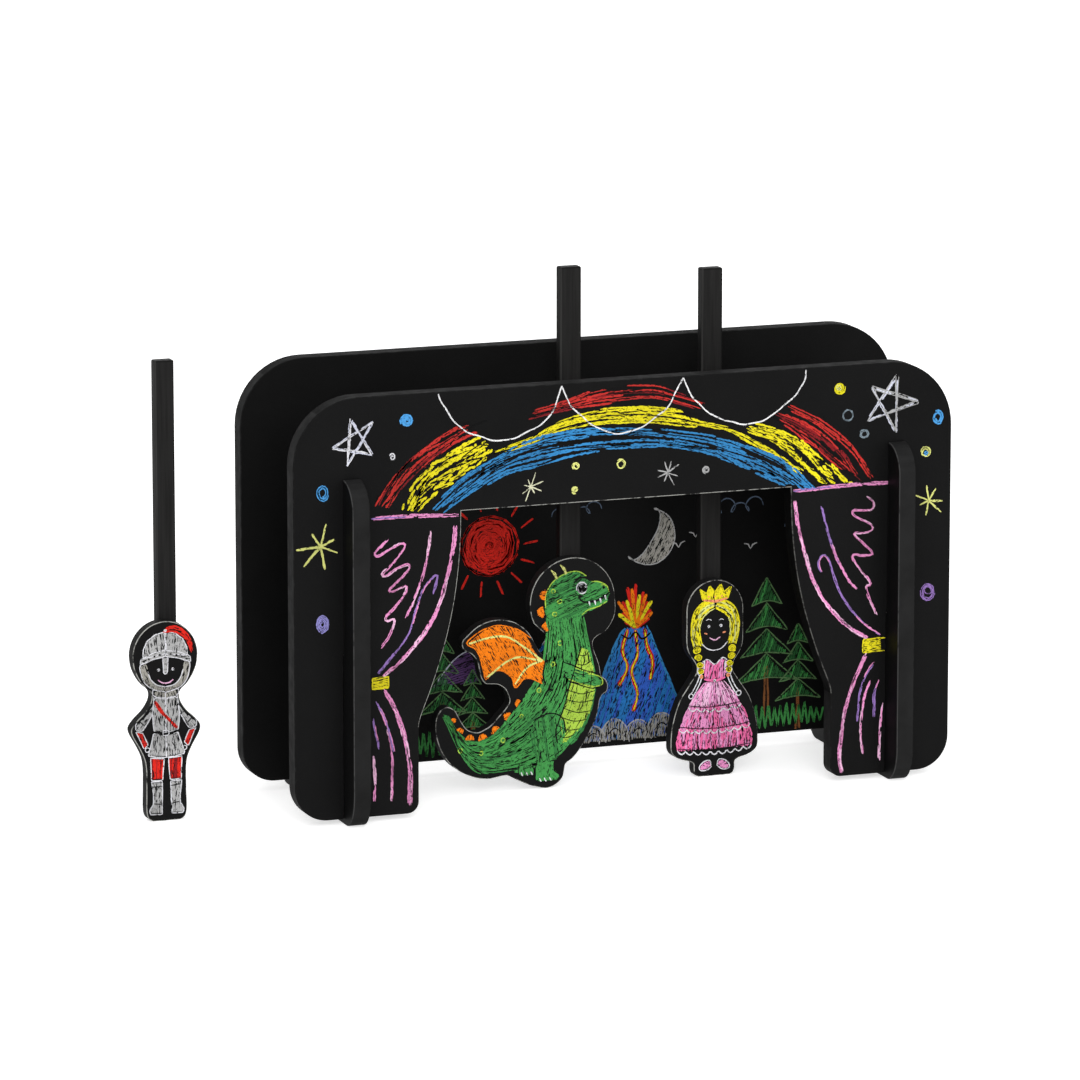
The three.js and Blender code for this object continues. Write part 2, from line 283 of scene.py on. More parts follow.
def board(node, body, finishes, ease, across, finish_at=all_round):
    """Dresses a board. across is the axis through its thickness; finishes are in the order named above.
    finish_at gives the front rim and cut edge for a place, in millimetres from the board's middle and the
    table."""
    low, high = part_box(node)
    middle = (low.x + high.x) / 2
    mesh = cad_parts[node].data.copy()
    mesh.materials.clear()
    for material in finishes:
        mesh.materials.append(material)
    work = merged(mesh)
    for face in work.faces:
        face.material_index = FACE
    edges = [e for e in work.edges if len(e.link_faces) == 2 and e.calc_face_angle() > SHARP_TURN]
    bmesh.ops.bevel(work, geom=edges, offset=ease, offset_type="OFFSET", segments=2, profile=0.5,
                    affect="EDGES", clamp_overlap=True, material=RIM)
    work.normal_update()
    for face in work.faces:
        along = abs(face.normal[across])
        centre = face.calc_center_median()
        rim, cut = finish_at((centre.x - middle) / MM, centre.z / MM)
        if face.material_index == RIM:
            on_front = centre[across] - low[across] < 2 * ease
            face.material_index = rim if on_front else SOFT_RIM
        elif along < SIDE_ON:
            face.material_index = TOP if face.normal.z > LEVEL else cut
        face.smooth = along < FLAT_ON
    for edge in work.edges:
        sides = {face.material_index in (CUT, TOP, SHADED_CUT) for face in edge.link_faces}
        edge.smooth = len(edge.link_faces) == 2 and len(sides) == 1 and edge.calc_face_angle() < SHARP_TURN
    work.to_mesh(mesh)
    work.free()
    piece = new_object(node + "_board", mesh)
    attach(piece, body)
    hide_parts(node)


# Lines

def mirrored(points, side):
    return [(side * x, z) for x, z in points]


def turned(points, centre, degrees):
    """Points turned about the origin and moved to a centre."""
    c, s = math.cos(math.radians(degrees)), math.sin(math.radians(degrees))
    return [(centre[0] + x * c - z * s, centre[1] + x * s + z * c) for x, z in points]


def even(points, step):
    """The same line with stations at even distances."""
    lengths = [0.0]
    for a, b in zip(points, points[1:]):
        lengths.append(lengths[-1] + math.dist(a, b))
    count = max(2, round(lengths[-1] / step))
    out = []
    leg = 0
    for i in range(count + 1):
        want = lengths[-1] * i / count
        while leg < len(points) - 2 and lengths[leg + 1] < want:
            leg += 1
        span = lengths[leg + 1] - lengths[leg]
        out.append(blend_points(points[leg], points[leg + 1], (want - lengths[leg]) / span if span else 0))
    return out


def curve(points, step=STATION):
    """A smooth line through given points."""
    if len(points) < 3:
        return even(points, step)
    ends = [blend_points(points[1], points[0], 2), *points, blend_points(points[-2], points[-1], 2)]
    fine = []
    for a, b, c, d in zip(ends, ends[1:], ends[2:], ends[3:]):
        for i in range(CURVE_STEPS):
            t = i / CURVE_STEPS
            fine.append(tuple(
                0.5 * (2 * b[k] + (c[k] - a[k]) * t + (2 * a[k] - 5 * b[k] + 4 * c[k] - d[k]) * t * t
                       + (3 * b[k] - 3 * c[k] + d[k] - a[k]) * t ** 3)
                for k in (0, 1)))
    fine.append(points[-1])
    return even(fine, step)


def ring(centre, radius, start, turns):
    steps = max(CURVE_STEPS, round(RING_STEPS * turns))
    return [polar(centre, radius, start + 2 * math.pi * turns * i / steps) for i in range(steps + 1)]


def sideways(line):
    """Unit vectors across a line at each station."""
    out = []
    for i in range(len(line)):
        a = line[max(0, i - 1)]
        b = line[min(len(line) - 1, i + 1)]
        length = math.dist(a, b) or 1.0
        out.append(((a[1] - b[1]) / length, (b[0] - a[0]) / length))
    return out


def inside(point, polygon):
    x, z = point
    hit = False
    for (ax, az), (bx, bz) in zip(polygon, polygon[1:] + polygon[:1]):
        if (az > z) != (bz > z) and x < ax + (z - az) * (bx - ax) / (bz - az):
            hit = not hit
    return hit


def from_rim(point, polygon):
    """Distance from a point to the nearest side of a polygon."""
    x, z = point
    best = math.inf
    for (ax, az), (bx, bz) in zip(polygon, polygon[1:] + polygon[:1]):
        ux, uz = bx - ax, bz - az
        long = ux * ux + uz * uz
        share = max(0.0, min(1.0, ((x - ax) * ux + (z - az) * uz) / long)) if long else 0.0
        best = min(best, (x - ax - ux * share) ** 2 + (z - az - uz * share) ** 2)
    return math.sqrt(best)


class Drawing:
    """Scratched lines on the front of a board, gathered into one piece for each colour. Places are in
    millimetres from the board's middle, or from reach beyond its left end, and from the table."""

    def __init__(self, node, body, seed, prefix, border=2.2, reach=None):
        low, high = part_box(node)
        self.body = body
        self.prefix = prefix
        self.front = low.y
        self.middle = low.x + ((high.x - low.x) * 0.5 if reach is None else reach * MM)
        self.random = random.Random(seed)
        self.strokes = {}
        self.border = border
        work = merged(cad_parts[node].data)
        face = min(work.faces, key=lambda f: f.normal.y * f.calc_area())
        self.rim = [((v.co.x - self.middle) / MM, v.co.z / MM) for v in face.verts]
        work.free()

    def pick(self, colours):
        return colours if isinstance(colours, str) else self.random.choice(colours)

    def on_board(self, point, border):
        gap = self.border if border is None else border
        return inside(point, self.rim) and from_rim(point, self.rim) > gap

    def clipped(self, line, region, border):
        """The runs of a line that stay inside a region and on the board."""
        runs = [[]]
        for point in line:
            if (region is None or inside(point, region)) and self.on_board(point, border):
                runs[-1].append(point)
            else:
                runs.append([])
        return [run for run in runs if len(run) > 2]

    def stroke(self, colour, line, width, layer=0, waver=0.12, taper=0.5, rough=0.16):
        """A scratched line that wavers a little and has ragged sides. width is a number, or a list with one
        for each point."""
        if len(line) < 2:
            return
        rng = self.random
        phase = [rng.uniform(0, PHASES) for _ in PACES]
        pace = [rng.uniform(*span) for span in PACES]
        across = sideways(line)
        out = []
        for i, (x, z) in enumerate(line):
            drift = waver * (math.sin(phase[0] + i * pace[0]) + 0.5 * math.sin(phase[1] + i * pace[1]))
            half = 0.5 * (width if isinstance(width, float) else width[i])
            half *= 1 + SWELL * math.sin(phase[2] + i * pace[2])
            if i in (0, len(line) - 1):
                half *= taper
            left = half * (1 + rng.uniform(-rough, rough))
            right = half * (1 + rng.uniform(-rough, rough))
            out.append((x + across[i][0] * drift, z + across[i][1] * drift, left, right))
        self.strokes.setdefault(colour, []).append((out, layer))

    def hatch(self, colours, region, angle, spacing, width, layer, border=None, flecks=0.0):
        """Fills a region with side-by-side scratches at an angle in degrees, and leaves flecks of coat."""
        rng = self.random
        turn = math.radians(angle)
        ux, uz = math.cos(turn), math.sin(turn)
        along = [x * ux + z * uz for x, z in region]
        over = [z * ux - x * uz for x, z in region]
        count = int((max(along) - min(along)) / HATCH_STEP) + 1
        offset = min(over) + spacing / 2
        while offset < max(over):
            place = offset + rng.uniform(-HATCH_DRIFT, HATCH_DRIFT)
            reaches = [min(along) + i * HATCH_STEP for i in range(count + 1)]
            line = [(reach * ux - place * uz, reach * uz + place * ux) for reach in reaches]
            for run in self.clipped(line, region, border):
                colour = self.pick(colours)
                self.stroke(colour, even(run, STATION), width * rng.uniform(*HATCH_WIDTHS), layer, 0.08, 0.6)
            offset += spacing
        self.fleck(region, angle, flecks, border)

    def fleck(self, region, angle, density, border=None):
        """Short slits of black coat in a filled region: density is how many in a square centimetre."""
        rng = self.random
        xs = [x for x, _ in region]
        zs = [z for _, z in region]
        room = (max(xs) - min(xs)) * (max(zs) - min(zs)) / 100
        for _ in range(round(room * density)):
            middle = (rng.uniform(min(xs), max(xs)), rng.uniform(min(zs), max(zs)))
            turn = math.radians(angle + rng.gauss(0, FLECK_TURN))
            reach = rng.uniform(*FLECK_REACH)
            ends = [polar(middle, -reach, turn), polar(middle, reach, turn)]
            if all(inside(end, region) and self.on_board(end, border) for end in ends):
                width = rng.uniform(*FLECK_WIDTHS)
                self.stroke("coat", even(ends, FLECK_STEP), width, FLECK_LAYER, 0.05, 0.3)

    def between(self, colours, first, second, count, layer=0, piece=(0.2, 0.5), ends=0.03, spread=0.4,
                fill=1.08, flecks=0, border=0.4, ragged=0.0):
        """Overlapping scratches that run along a band between two lines. ragged is the share left out."""
        rng = self.random
        a = curve(first)
        steps = len(a) - 1
        fine = even(curve(second), BAND_STEP)
        b = [fine[round(i * (len(fine) - 1) / steps)] for i in range(steps + 1)]
        for k in range(count):
            share = (k + 0.5) / count
            start = rng.uniform(-ends, ends)
            finish = 1 - rng.uniform(-ends, ends)
            while start < finish - 0.02:
                stop = min(start + rng.uniform(*piece), finish)
                missing = ragged * (2 if k in (0, count - 1) else 1)
                if rng.random() >= missing:
                    self.strand(colours, a, b, share, count, start, stop, layer, spread, fill, border)
                start = stop + rng.uniform(*STRAND_BREAK)
        for _ in range(flecks):
            start = rng.uniform(0, 0.97)
            stop = start + rng.uniform(*SLIT_LENGTHS) / max(1, steps)
            self.strand("coat", a, b, rng.uniform(0.04, 0.96), 0, start, stop, FLECK_LAYER, 0, 0, border)

    def strand(self, colours, a, b, share, count, start, stop, layer, spread, fill, border):
        """One scratch of a band; one of coat, with a count of nought, is a short slit."""
        rng = self.random
        steps = len(a) - 1
        lead, tail = [share + (rng.uniform(-spread, spread) / count if count else 0) for _ in range(2)]
        low = max(0.0, start) * steps
        high = min(1.0, stop) * steps
        marks = max(2, round(high - low))
        line = []
        widths = []
        scale = rng.uniform(*STRAND_WIDTHS)
        for m in range(marks + 1):
            place = low + (high - low) * m / marks
            i = min(steps - 1, int(place))
            left = blend_points(a[i], a[i + 1], place - i)
            right = blend_points(b[i], b[i + 1], place - i)
            point = blend_points(left, right, lead + (tail - lead) * m / marks)
            if self.on_board(point, border):
                line.append(point)
                gap = math.dist(left, right) / count if count else rng.uniform(*SLIT_WIDTHS)
                widths.append(max(THINNEST, min(BROADEST, gap * fill * scale)) if count else gap)
        if len(line) > 2 or (len(line) == 2 and not count):
            self.stroke(self.pick(colours), line, widths, layer, 0.07, 0.4, 0.42)

    def line(self, colour, points, width, layer=0, repeats=1, waver=0.15, straight=False, loose=0.35):
        """A drawn line, gone over several times where repeats is more than one."""
        shift = loose if repeats > 1 else 0.0
        for _ in range(repeats):
            moved = [(x + self.random.uniform(-shift, shift), z + self.random.uniform(-shift, shift))
                     for x, z in points]
            drawn = even(moved, STATION) if straight else curve(moved)
            for run in self.clipped(drawn, None, RIM_GAP):
                self.stroke(colour, run, width, layer, waver, 0.6)

    def slit(self, points, width, **look):
        """A line of black coat that is left between colours."""
        self.line("coat", points, width, FLECK_LAYER, **look)

    def chalk(self, colours, points, width, layer=0, straight=False, gaps=0.12):
        """A broad crumbly line: thin scratches side by side, broken here and there."""
        rng = self.random
        line = even(points, STATION) if straight else curve(points)
        across = sideways(line)
        strands = max(2, round(width / CHALK_STRAND))
        for k in range(strands):
            side = ((k + 0.5) / strands - 0.5) * width
            start = rng.randint(0, 2)
            while start < len(line) - 2:
                stop = min(len(line), start + rng.randint(*CHALK_RUN))
                place = side + rng.uniform(-CHALK_DRIFT, CHALK_DRIFT)
                piece = [(x + nx * place, z + nz * place)
                         for (x, z), (nx, nz) in zip(line[start:stop], across[start:stop])]
                colour = self.pick(colours)
                for run in self.clipped(piece, None, RIM_GAP):
                    thin = width / strands * rng.uniform(*CHALK_WIDTHS)
                    self.stroke(colour, run, thin, layer, 0.09, 0.5, 0.5)
                start = stop - 1 + (rng.randint(1, 2) if rng.random() < gaps else 0)

    def scribble(self, colour, centre, radius, width, layer=1, turns=3.0, squeeze=1.0, core=0.15):
        """A dot or ball rubbed in with a small spiral, which starts at a share of the radius called core."""
        steps = max(10, round(turns * SCRIBBLE_STEPS))
        line = []
        start = self.random.uniform(0, PHASES)
        for i in range(steps + 1):
            share = i / steps
            reach = (radius - width / 2) * (core + (1 - core) * share) * self.random.uniform(*SCRIBBLE_REACH)
            line.append(polar(centre, reach, start + 2 * math.pi * turns * share, squeeze))
        self.stroke(colour, line, width, layer, 0.04)

    def circle(self, colour, centre, radius, width, layer, turns):
        start = self.random.uniform(0, PHASES)
        self.stroke(colour, ring(centre, radius, start, turns), width, layer, 0.15)

    def twinkle(self, colour, centre, radius, rays, width):
        """A small star of uneven rays."""
        rng = self.random
        start = rng.uniform(0, 0.5)
        for i in range(rays):
            angle = start + 2 * math.pi * i / rays + rng.uniform(-RAY_TURN, RAY_TURN)
            reach = radius * rng.uniform(*RAY_REACH)
            ray = even([polar(centre, -RAY_BACK * reach, angle), polar(centre, reach, angle)], STATION)
            self.stroke(colour, ray, width * rng.uniform(*RAY_WIDTHS), 1, 0.1, 0.5, 0.3)

    def finish(self, coat):
        """Builds the pieces: every stroke is a closed low ridge with square ends."""
        for colour in sorted(self.strokes):
            corners = []
            places = []
            faces = []
            for order, (line, layer) in enumerate(self.strokes[colour]):
                proud = LINE_PROUD + LAYER_STEP * layer + ORDER_STEP * (order % 5)
                flat = [(x, z) for x, z, _, _ in line]
                base = len(corners)
                reach = 0.0
                for i, ((x, z, left, right), (nx, nz)) in enumerate(zip(line, sideways(flat))):
                    reach += math.dist(flat[i - 1], flat[i]) if i else 0.0
                    ridge = ((left, -proud), (-right, -proud), (-right, LINE_ROOT), (left, LINE_ROOT))
                    for side, depth in ridge:
                        corners.append((self.middle + (x + side * nx) * MM, self.front + depth * MM,
                                        (z + side * nz) * MM))
                        places.extend((reach * MM, side * MM, PATTERN_STEP * order))
                last = base + 4 * (len(line) - 1)
                for b in range(base, last, 4):
                    for k in range(4):
                        faces.append((b + k, b + (k + 1) % 4, b + 4 + (k + 1) % 4, b + 4 + k))
                faces.append((base, base + 3, base + 2, base + 1))
                faces.append((last, last + 1, last + 2, last + 3))
            mesh = bpy.data.meshes.new(f"{self.prefix}_{colour}")
            mesh.from_pydata(corners, [], faces)
            kept = mesh.attributes.new(STROKE_PLACE, "FLOAT_VECTOR", "POINT")
            kept.data.foreach_set("vector", places)
            mesh.materials.append(coat if colour == "coat" else palette[colour])
            mesh.update()
            piece = new_object(f"{self.prefix}_{colour}", mesh)
            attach(piece, self.body)


# Drawing colours and finishes

CRUMB_BLACK = (0.12, 0.12, 0.12)
COLOURS = {
    "red": (0.82, 0.14, 0.1), "crimson": (0.74, 0.18, 0.16), "deep_red": (0.5, 0.1, 0.12),
    "yellow": (0.9, 0.85, 0.12), "pale_yellow": (0.85, 0.86, 0.5), "sky": (0.2, 0.51, 0.74),
    "white": (0.86, 0.86, 0.88), "lavender": (0.8, 0.81, 0.87), "pink": (0.89, 0.56, 0.76),
    "pale_pink": (0.93, 0.72, 0.85), "deep_pink": (0.92, 0.42, 0.64), "purple": (0.58, 0.45, 0.72),
    "blue": (0.2, 0.38, 0.78), "sea": (0.15, 0.46, 0.74), "slate": (0.36, 0.42, 0.5),
    "grey": (0.68, 0.68, 0.68), "periwinkle": (0.54, 0.52, 0.76), "pale_sky": (0.3, 0.61, 0.86),
    "mist": (0.52, 0.58, 0.62), "ivory": (0.82, 0.82, 0.7), "bright": (0.95, 0.95, 0.96),
    "stone": (0.62, 0.61, 0.58), "leaf": (0.26, 0.58, 0.29), "fern": (0.2, 0.47, 0.24),
    "pine": (0.17, 0.38, 0.2), "moss": (0.36, 0.5, 0.32), "lime": (0.66, 0.8, 0.28),
    "orange": (0.95, 0.48, 0.05), "salmon": (0.93, 0.58, 0.42), "brown": (0.5, 0.31, 0.17),
    "plum": (0.38, 0.26, 0.46),
}
palette = {name: scratched("scratch_" + name, colour) for name, colour in COLOURS.items()}

BLACK = (0.043, 0.043, 0.044)
SOFT_BLACK = (0.064, 0.064, 0.065)
# The back panel's coat is a little darker than the front's: painted shade for the inside of the stage
BACK_DARK = (0.038, 0.038, 0.038)
BACK_SOFT = (0.06, 0.06, 0.06)
FIGURE_DARK = (0.045, 0.045, 0.046)
FIGURE_SOFT = (0.07, 0.07, 0.071)
EDGE_DARK = (0.085, 0.085, 0.085)
EDGE_PALE = (0.13, 0.13, 0.131)
# Darker cut edge tones for the window's right side: painted shade
SHADE_DARK = (0.03, 0.03, 0.03)
SHADE_SOFT = (0.05, 0.05, 0.05)
RIM_PALE = (0.64, 0.64, 0.62)
# Dimmer rim tone for the window's right side: painted shade
RIM_WINDOW_SHADE = (0.36, 0.36, 0.35)
BRACE_DARK = (0.105, 0.105, 0.105)
BRACE_PALE = (0.155, 0.155, 0.156)
# Paler rim along the braces' left corners: chipped texture, brightened as a painted highlight
BRACE_HIGHLIGHT = (0.25, 0.25, 0.25)
STICK_DARK = (0.118, 0.116, 0.115)
STICK_PALE = (0.168, 0.166, 0.164)
# Paler stain along a stick's left front corner: painted highlight
STICK_HIGHLIGHT = (0.225, 0.223, 0.22)
# A stick's cut sides take a darker copy of its stain: painted shade
STICK_SIDE_SHADE = 0.68

panel_coat = coat("panel_coat", BLACK, SOFT_BLACK)
# Darker coat for the back panel: painted shade inside the stage
back_coat = coat("back_coat", BACK_DARK, BACK_SOFT)
brace_coat = coat("brace_coat", FIGURE_DARK, BLACK)
figure_coat = coat("figure_coat", FIGURE_DARK, FIGURE_SOFT)
board_edge = cut_edge("board_edge", EDGE_DARK, EDGE_PALE)
top_edge = cut_edge("top_edge", EDGE_DARK, EDGE_PALE, TOP_SHEEN)
# The window's right cut edge is a darker copy of the cut edge: painted shade
shaded_edge = cut_edge("shaded_edge", SHADE_DARK, SHADE_SOFT)
brace_edge = cut_edge("brace_edge", BRACE_DARK, BRACE_PALE)
pale_rim = rim_wear_and_light("pale_rim", EDGE_PALE, RIM_PALE, 0.4)
# The window's right rim is a dimmer copy of the pale rim: painted shade
shaded_window_rim = rim_wear_and_light("shaded_window_rim", EDGE_PALE, RIM_WINDOW_SHADE, 0.42)
soft_rim = rim_wear_and_light("soft_rim", EDGE_DARK, EDGE_PALE, 0.5)
# Chipped rim on the braces' left corners, paler as a painted highlight
brace_highlight_rim = rim_wear_and_light("brace_highlight_rim", BRACE_PALE, BRACE_HIGHLIGHT, 0.35)
stick_stain = stained_wood("stick_stain", STICK_DARK, STICK_PALE)
# Paler copy of the stain for the stick's left front corner: painted highlight
stick_highlight_rim = stained_wood("stick_highlight_rim", STICK_PALE, STICK_HIGHLIGHT)
# Darker copy of the stain for the stick's sides: painted shade
shaded_stick_side = stained_wood("shaded_stick_side", shade(STICK_DARK, STICK_SIDE_SHADE), shade(STICK_PALE, STICK_SIDE_SHADE))

panel_finish = [panel_coat, board_edge, top_edge, pale_rim, soft_rim, shaded_window_rim, shaded_edge]
back_finish = [back_coat, board_edge, top_edge, soft_rim, soft_rim]
figure_finish = [figure_coat, board_edge, board_edge, pale_rim, soft_rim]
brace_finish = [brace_coat, brace_edge, brace_edge, brace_highlight_rim, soft_rim]
stick_finish = [stick_stain, shaded_stick_side, shaded_stick_side, stick_highlight_rim, shaded_stick_side]

# Boards and sticks

ALONG, ACROSS = 0, 1
WINDOW_HALF = 96
WINDOW_TOP = 133
WINDOW_FOOT = 38
WINDOW_RIGHT = 72


def round_window(x, z):
    """The rim of the upper opening is chipped pale; at its right side the rim and the cut edge take darker
    copies, which is painted shade.
    """
    if abs(x) > WINDOW_HALF or not WINDOW_FOOT < z < WINDOW_TOP:
        return SOFT_RIM, CUT
    return (SHADED_WINDOW_RIM, SHADED_CUT) if x > WINDOW_RIGHT else (RIM, CUT)


def lit_left_corner(x, z):
    """A painted highlight along a stick's left front corner: that rim takes a paler copy of the stain."""
    return (RIM if x < 0 else SOFT_RIM), CUT


board("front_panel", "front_board", panel_finish, PANEL_EASE, ACROSS, round_window)
board("back_panel", "back_board", back_finish, PANEL_EASE, ACROSS)
board("left_brace", "braces", brace_finish, PANEL_EASE, ALONG)
board("right_brace", "braces", brace_finish, PANEL_EASE, ALONG)
for puppet in ("dragon", "princess", "knight"):
    board(puppet + "_figure", puppet, figure_finish, FIGURE_EASE, ACROSS)
    board(puppet + "_stick", puppet, stick_finish, STICK_EASE, ACROSS, lit_left_corner)

# Front panel: measured from the panel's middle and from the table

front = Drawing("front_panel", "front_board", 11, "front")

SWAGS = [
    [(-85.8, 184), (-84.3, 179.5), (-80.7, 174), (-74, 167), (-68, 163.8), (-61.5, 161.8), (-55, 161.6),
     (-49, 162.6), (-43, 165), (-38, 168.2), (-34, 173), (-31.4, 178), (-30, 183)],
    [(-30, 183), (-28.5, 179.5), (-25.4, 174.2), (-21.5, 169.7), (-17.5, 166), (-12, 163.2), (-5.5, 161.2),
     (1.5, 161.3), (7.5, 163.3), (14, 168), (19.5, 172.7), (22.5, 178), (25.2, 183)],
    [(25.2, 183), (27.7, 177), (31.2, 173), (36, 168.4), (40, 165.2), (46, 162.7), (53, 161.3), (60, 162),
     (65, 163.5), (69.5, 166.3), (75, 170.5), (78.4, 174.5), (80.8, 178.7), (81.8, 183)],
]
for swag in SWAGS:
    front.line("bright", swag, 0.58, layer=5, waver=0.3)

REDS = ("crimson", "crimson", "deep_red")
RED_BANDS = [
    ([(-115, 137), (-109.5, 146), (-103, 153.5), (-95, 160), (-81, 168), (-72, 171)],
     [(-107.5, 135.5), (-98, 146.5), (-89, 153.3), (-79, 158.8), (-67.5, 164.3)]),
    ([(-42, 173.5), (-28, 177), (-16, 180), (-4, 181), (12, 180.5), (24, 176.5), (36, 172.5)],
     [(-45, 169.5), (-28, 172), (-14, 173.5), (-2, 174.5), (12, 174.5), (24, 171.5), (33, 168.5)]),
    ([(69, 166), (80.5, 161), (91.5, 154), (100, 146), (106.5, 136)],
     [(65.5, 163), (74.5, 157.5), (84, 150), (93.5, 142), (104.5, 134.5)]),
]
for outer, inner in RED_BANDS:
    front.between(REDS, outer, inner, 9, 0, (0.16, 0.5), 0.16, 0.9, 0.98, 30, ragged=0.1)
    front.between("coat", outer, inner, 5, FLECK_LAYER, (0.1, 0.3), 0.2, 0.6, 0.26, ragged=0.35)
RED_EDGE = (
    [(74, 168.5), (89, 160.5), (98.5, 153.2), (106.2, 145.5), (113.8, 134)],
    [(73, 166.5), (87.5, 158.3), (96.5, 151), (104, 143.8), (111.5, 133)],
)
front.between("crimson", *RED_EDGE, 4, 0, (0.2, 0.6), 0.06, 0.7, 1.0, 12, ragged=0.06)

YELLOW_BANDS = [
    ([(-103.3, 134.5), (-97.7, 146), (-89, 153), (-79, 158.5), (-66, 163.5)],
     [(-93.5, 133), (-87, 139), (-79.5, 144.5), (-70, 149.7), (-59, 155)]),
    ([(-60, 157.5), (-45, 161.5), (-32.5, 167.5), (-20, 171), (-6, 172.3), (10, 172), (22, 170), (35, 166)],
     [(-60, 155), (-45, 158.5), (-32, 163), (-18, 165), (-3, 165.5), (10, 164.7), (20, 163.5), (31, 161)]),
    ([(57, 161.5), (70, 157.5), (79.5, 152.5), (89, 145), (103, 132.5)],
     [(53, 158), (65, 152.5), (74.5, 146), (81.5, 140), (90, 133)]),
]
for outer, inner in YELLOW_BANDS:
    front.between("yellow", outer, inner, 8, 1, (0.14, 0.45), 0.12, 0.9, 1.0, 50, ragged=0.08)
    front.between("coat", outer, inner, 4, FLECK_LAYER, (0.08, 0.25), 0.2, 0.6, 0.22, ragged=0.4)
YELLOW_RUN = (
    [(31, 164), (46, 160.3), (57, 155), (67.5, 149), (81, 139)],
    [(31, 161.5), (46, 157.5), (56.5, 152), (67, 146), (79.5, 137)],
)
front.between("yellow", *YELLOW_RUN, 4, 1, (0.15, 0.5), 0.05, 0.8, 1.0, 12, ragged=0.12)

BLUE_OUTER = [(-89.5, 134), (-82.5, 140.7), (-75, 147), (-66, 152), (-50, 158.5), (-32, 163), (-15, 164),
    (2, 163), (17, 161), (37, 157.5), (53, 153), (71.5, 145), (87, 130.5)]
BLUE_INNER = [(-83, 131.5), (-75, 136.5), (-66, 141.3), (-54, 147), (-40, 149.7), (-24, 152.7), (-8, 153.8),
    (4, 154), (17, 153.4), (35, 149.4), (53, 142.4), (67.5, 135.5), (79, 130)]
front.between("sky", BLUE_OUTER, BLUE_INNER, 10, 2, (0.07, 0.26), 0.06, 0.9, 1.0, 130, ragged=0.09)
front.between("coat", BLUE_OUTER, BLUE_INNER, 5, FLECK_LAYER, (0.04, 0.14), 0.1, 0.6, 0.26, ragged=0.4)

LEFT_STAR = [(-124.5, 175), (-115, 159), (-132.5, 163), (-114.5, 173), (-126, 154.7), (-124.5, 175)]
RIGHT_STAR = [(124, 178), (124, 153), (112.5, 173.5), (134, 166), (110.5, 159), (124, 178)]
for star, colours, width, gaps in (
    (LEFT_STAR, ("white", "lavender"), 0.95, 0.12),
    (RIGHT_STAR, ("lavender", "lavender", "grey"), 1.1, 0.7),
):
    for side in zip(star, star[1:]):
        front.chalk(colours, side, width, 3, True, gaps)
front.line("grey", RIGHT_STAR, 0.32, layer=4, straight=True, repeats=2, loose=0.8)

# Each dot: colour, centre, radius, width, layer, turns and, where they differ from the rule, squeeze and core
DOTS = (
    ("pale_sky", (-99.5, 172.5), 3.3, 0.95, 1, 2.6),
    ("white", (-106, 157.3), 1.7, 0.55, 1, 1.4, 1.2),
    ("pale_sky", (-137, 144), 3.2, 1.0, 1, 2.2, 1.25, 0.55),
    ("periwinkle", (-137.5, 87.5), 3.3, 0.5, 1, 4.2, 1.35, 0.2),
    ("yellow", (97.5, 174), 3.1, 0.95, 1, 2.3, 1, 0.3),
    ("pale_yellow", (97.1, 174.6), 1.8, 0.5, 2, 1.5),
    ("pale_sky", (143.5, 158.3), 3.0, 0.9, 1, 1.8, 1.35, 0.4),
    ("mist", (101.5, 162), 2.9, 0.42, 1, 1.9, 1, 0.75),
    ("mist", (109, 153.2), 2.6, 0.42, 1, 2.2, 0.9, 0.5),
    ("pale_yellow", (138, 143.4), 2.7, 0.9, 1, 1.5, 1, 0.7),
    ("pale_sky", (138.4, 143), 1.3, 0.5, 2, 1.4),
    ("purple", (139.5, 81.4), 3.7, 0.42, 1, 3.0, 1.2, 0.5),
    ("purple", (139.8, 82.6), 2.9, 0.45, 1, 1.4, 0.9, 0.6),
    ("pale_yellow", (-23.5, 148), 2.1, 0.6, 1, 1.7, 1, 0.3),
    ("pale_yellow", (-24, 137.8), 2.1, 0.8, 1, 1.7),
    ("pale_yellow", (-3, 147.5), 2.5, 0.6, 1, 1.6, 1, 0.6),
    ("grey", (36, 142.4), 2.1, 0.7, 1, 1.6, 1, 0.3),
)
for dot in DOTS:
    front.scribble(*dot)
for twinkle in (
    ("pale_yellow", (-138, 121), 11.3, 7, 0.9), ("pale_yellow", (139.7, 122), 8.6, 7, 0.7),
    ("ivory", (-44, 140.3), 6.3, 8, 0.45), ("grey", (18.5, 142.4), 6.3, 8, 0.5),
):
    front.twinkle(*twinkle)

# Curtains down the sides of the stage
BROAD_PINK = [
    [(-78, 127), (-78.5, 119), (-80.5, 109), (-83, 98.5), (-87.5, 87.5), (-93.5, 78.5), (-101.5, 70),
     (-110.5, 63)],
    [(-110.5, 57.5), (-106, 50), (-102, 39.5), (-99.5, 28), (-98.5, 16.5), (-98.7, 6)],
    [(77, 126), (78.3, 117), (80.5, 107.5), (84.5, 94), (89.5, 83.5), (96.5, 74.5), (104.5, 67.3),
     (111.5, 63)],
    [(111.5, 57), (108, 50), (104, 41), (101, 30.5), (99.6, 19), (98.7, 11.5), (100, 4)],
]
THIN_PINK = [
    [(-89.2, 124.5), (-90, 117), (-92.2, 106.5), (-95.5, 97.5), (-100.3, 87.5)],
    [(-113, 51), (-110, 44.5), (-107.8, 36), (-106.6, 27.5), (-106.8, 18), (-107, 8.5)],
    [(-115.3, 30.8), (-114.4, 18.7), (-114.7, 9)],
    [(113.4, 45), (110.5, 37.5), (109, 29), (108.6, 20.5), (109.7, 11.5)],
    [(119.2, 33.5), (118, 25.5), (117.5, 8)],
    [(93.5, 107.5), (95.8, 101.5), (98, 97), (102.5, 89.2), (106.3, 85.2)],
]
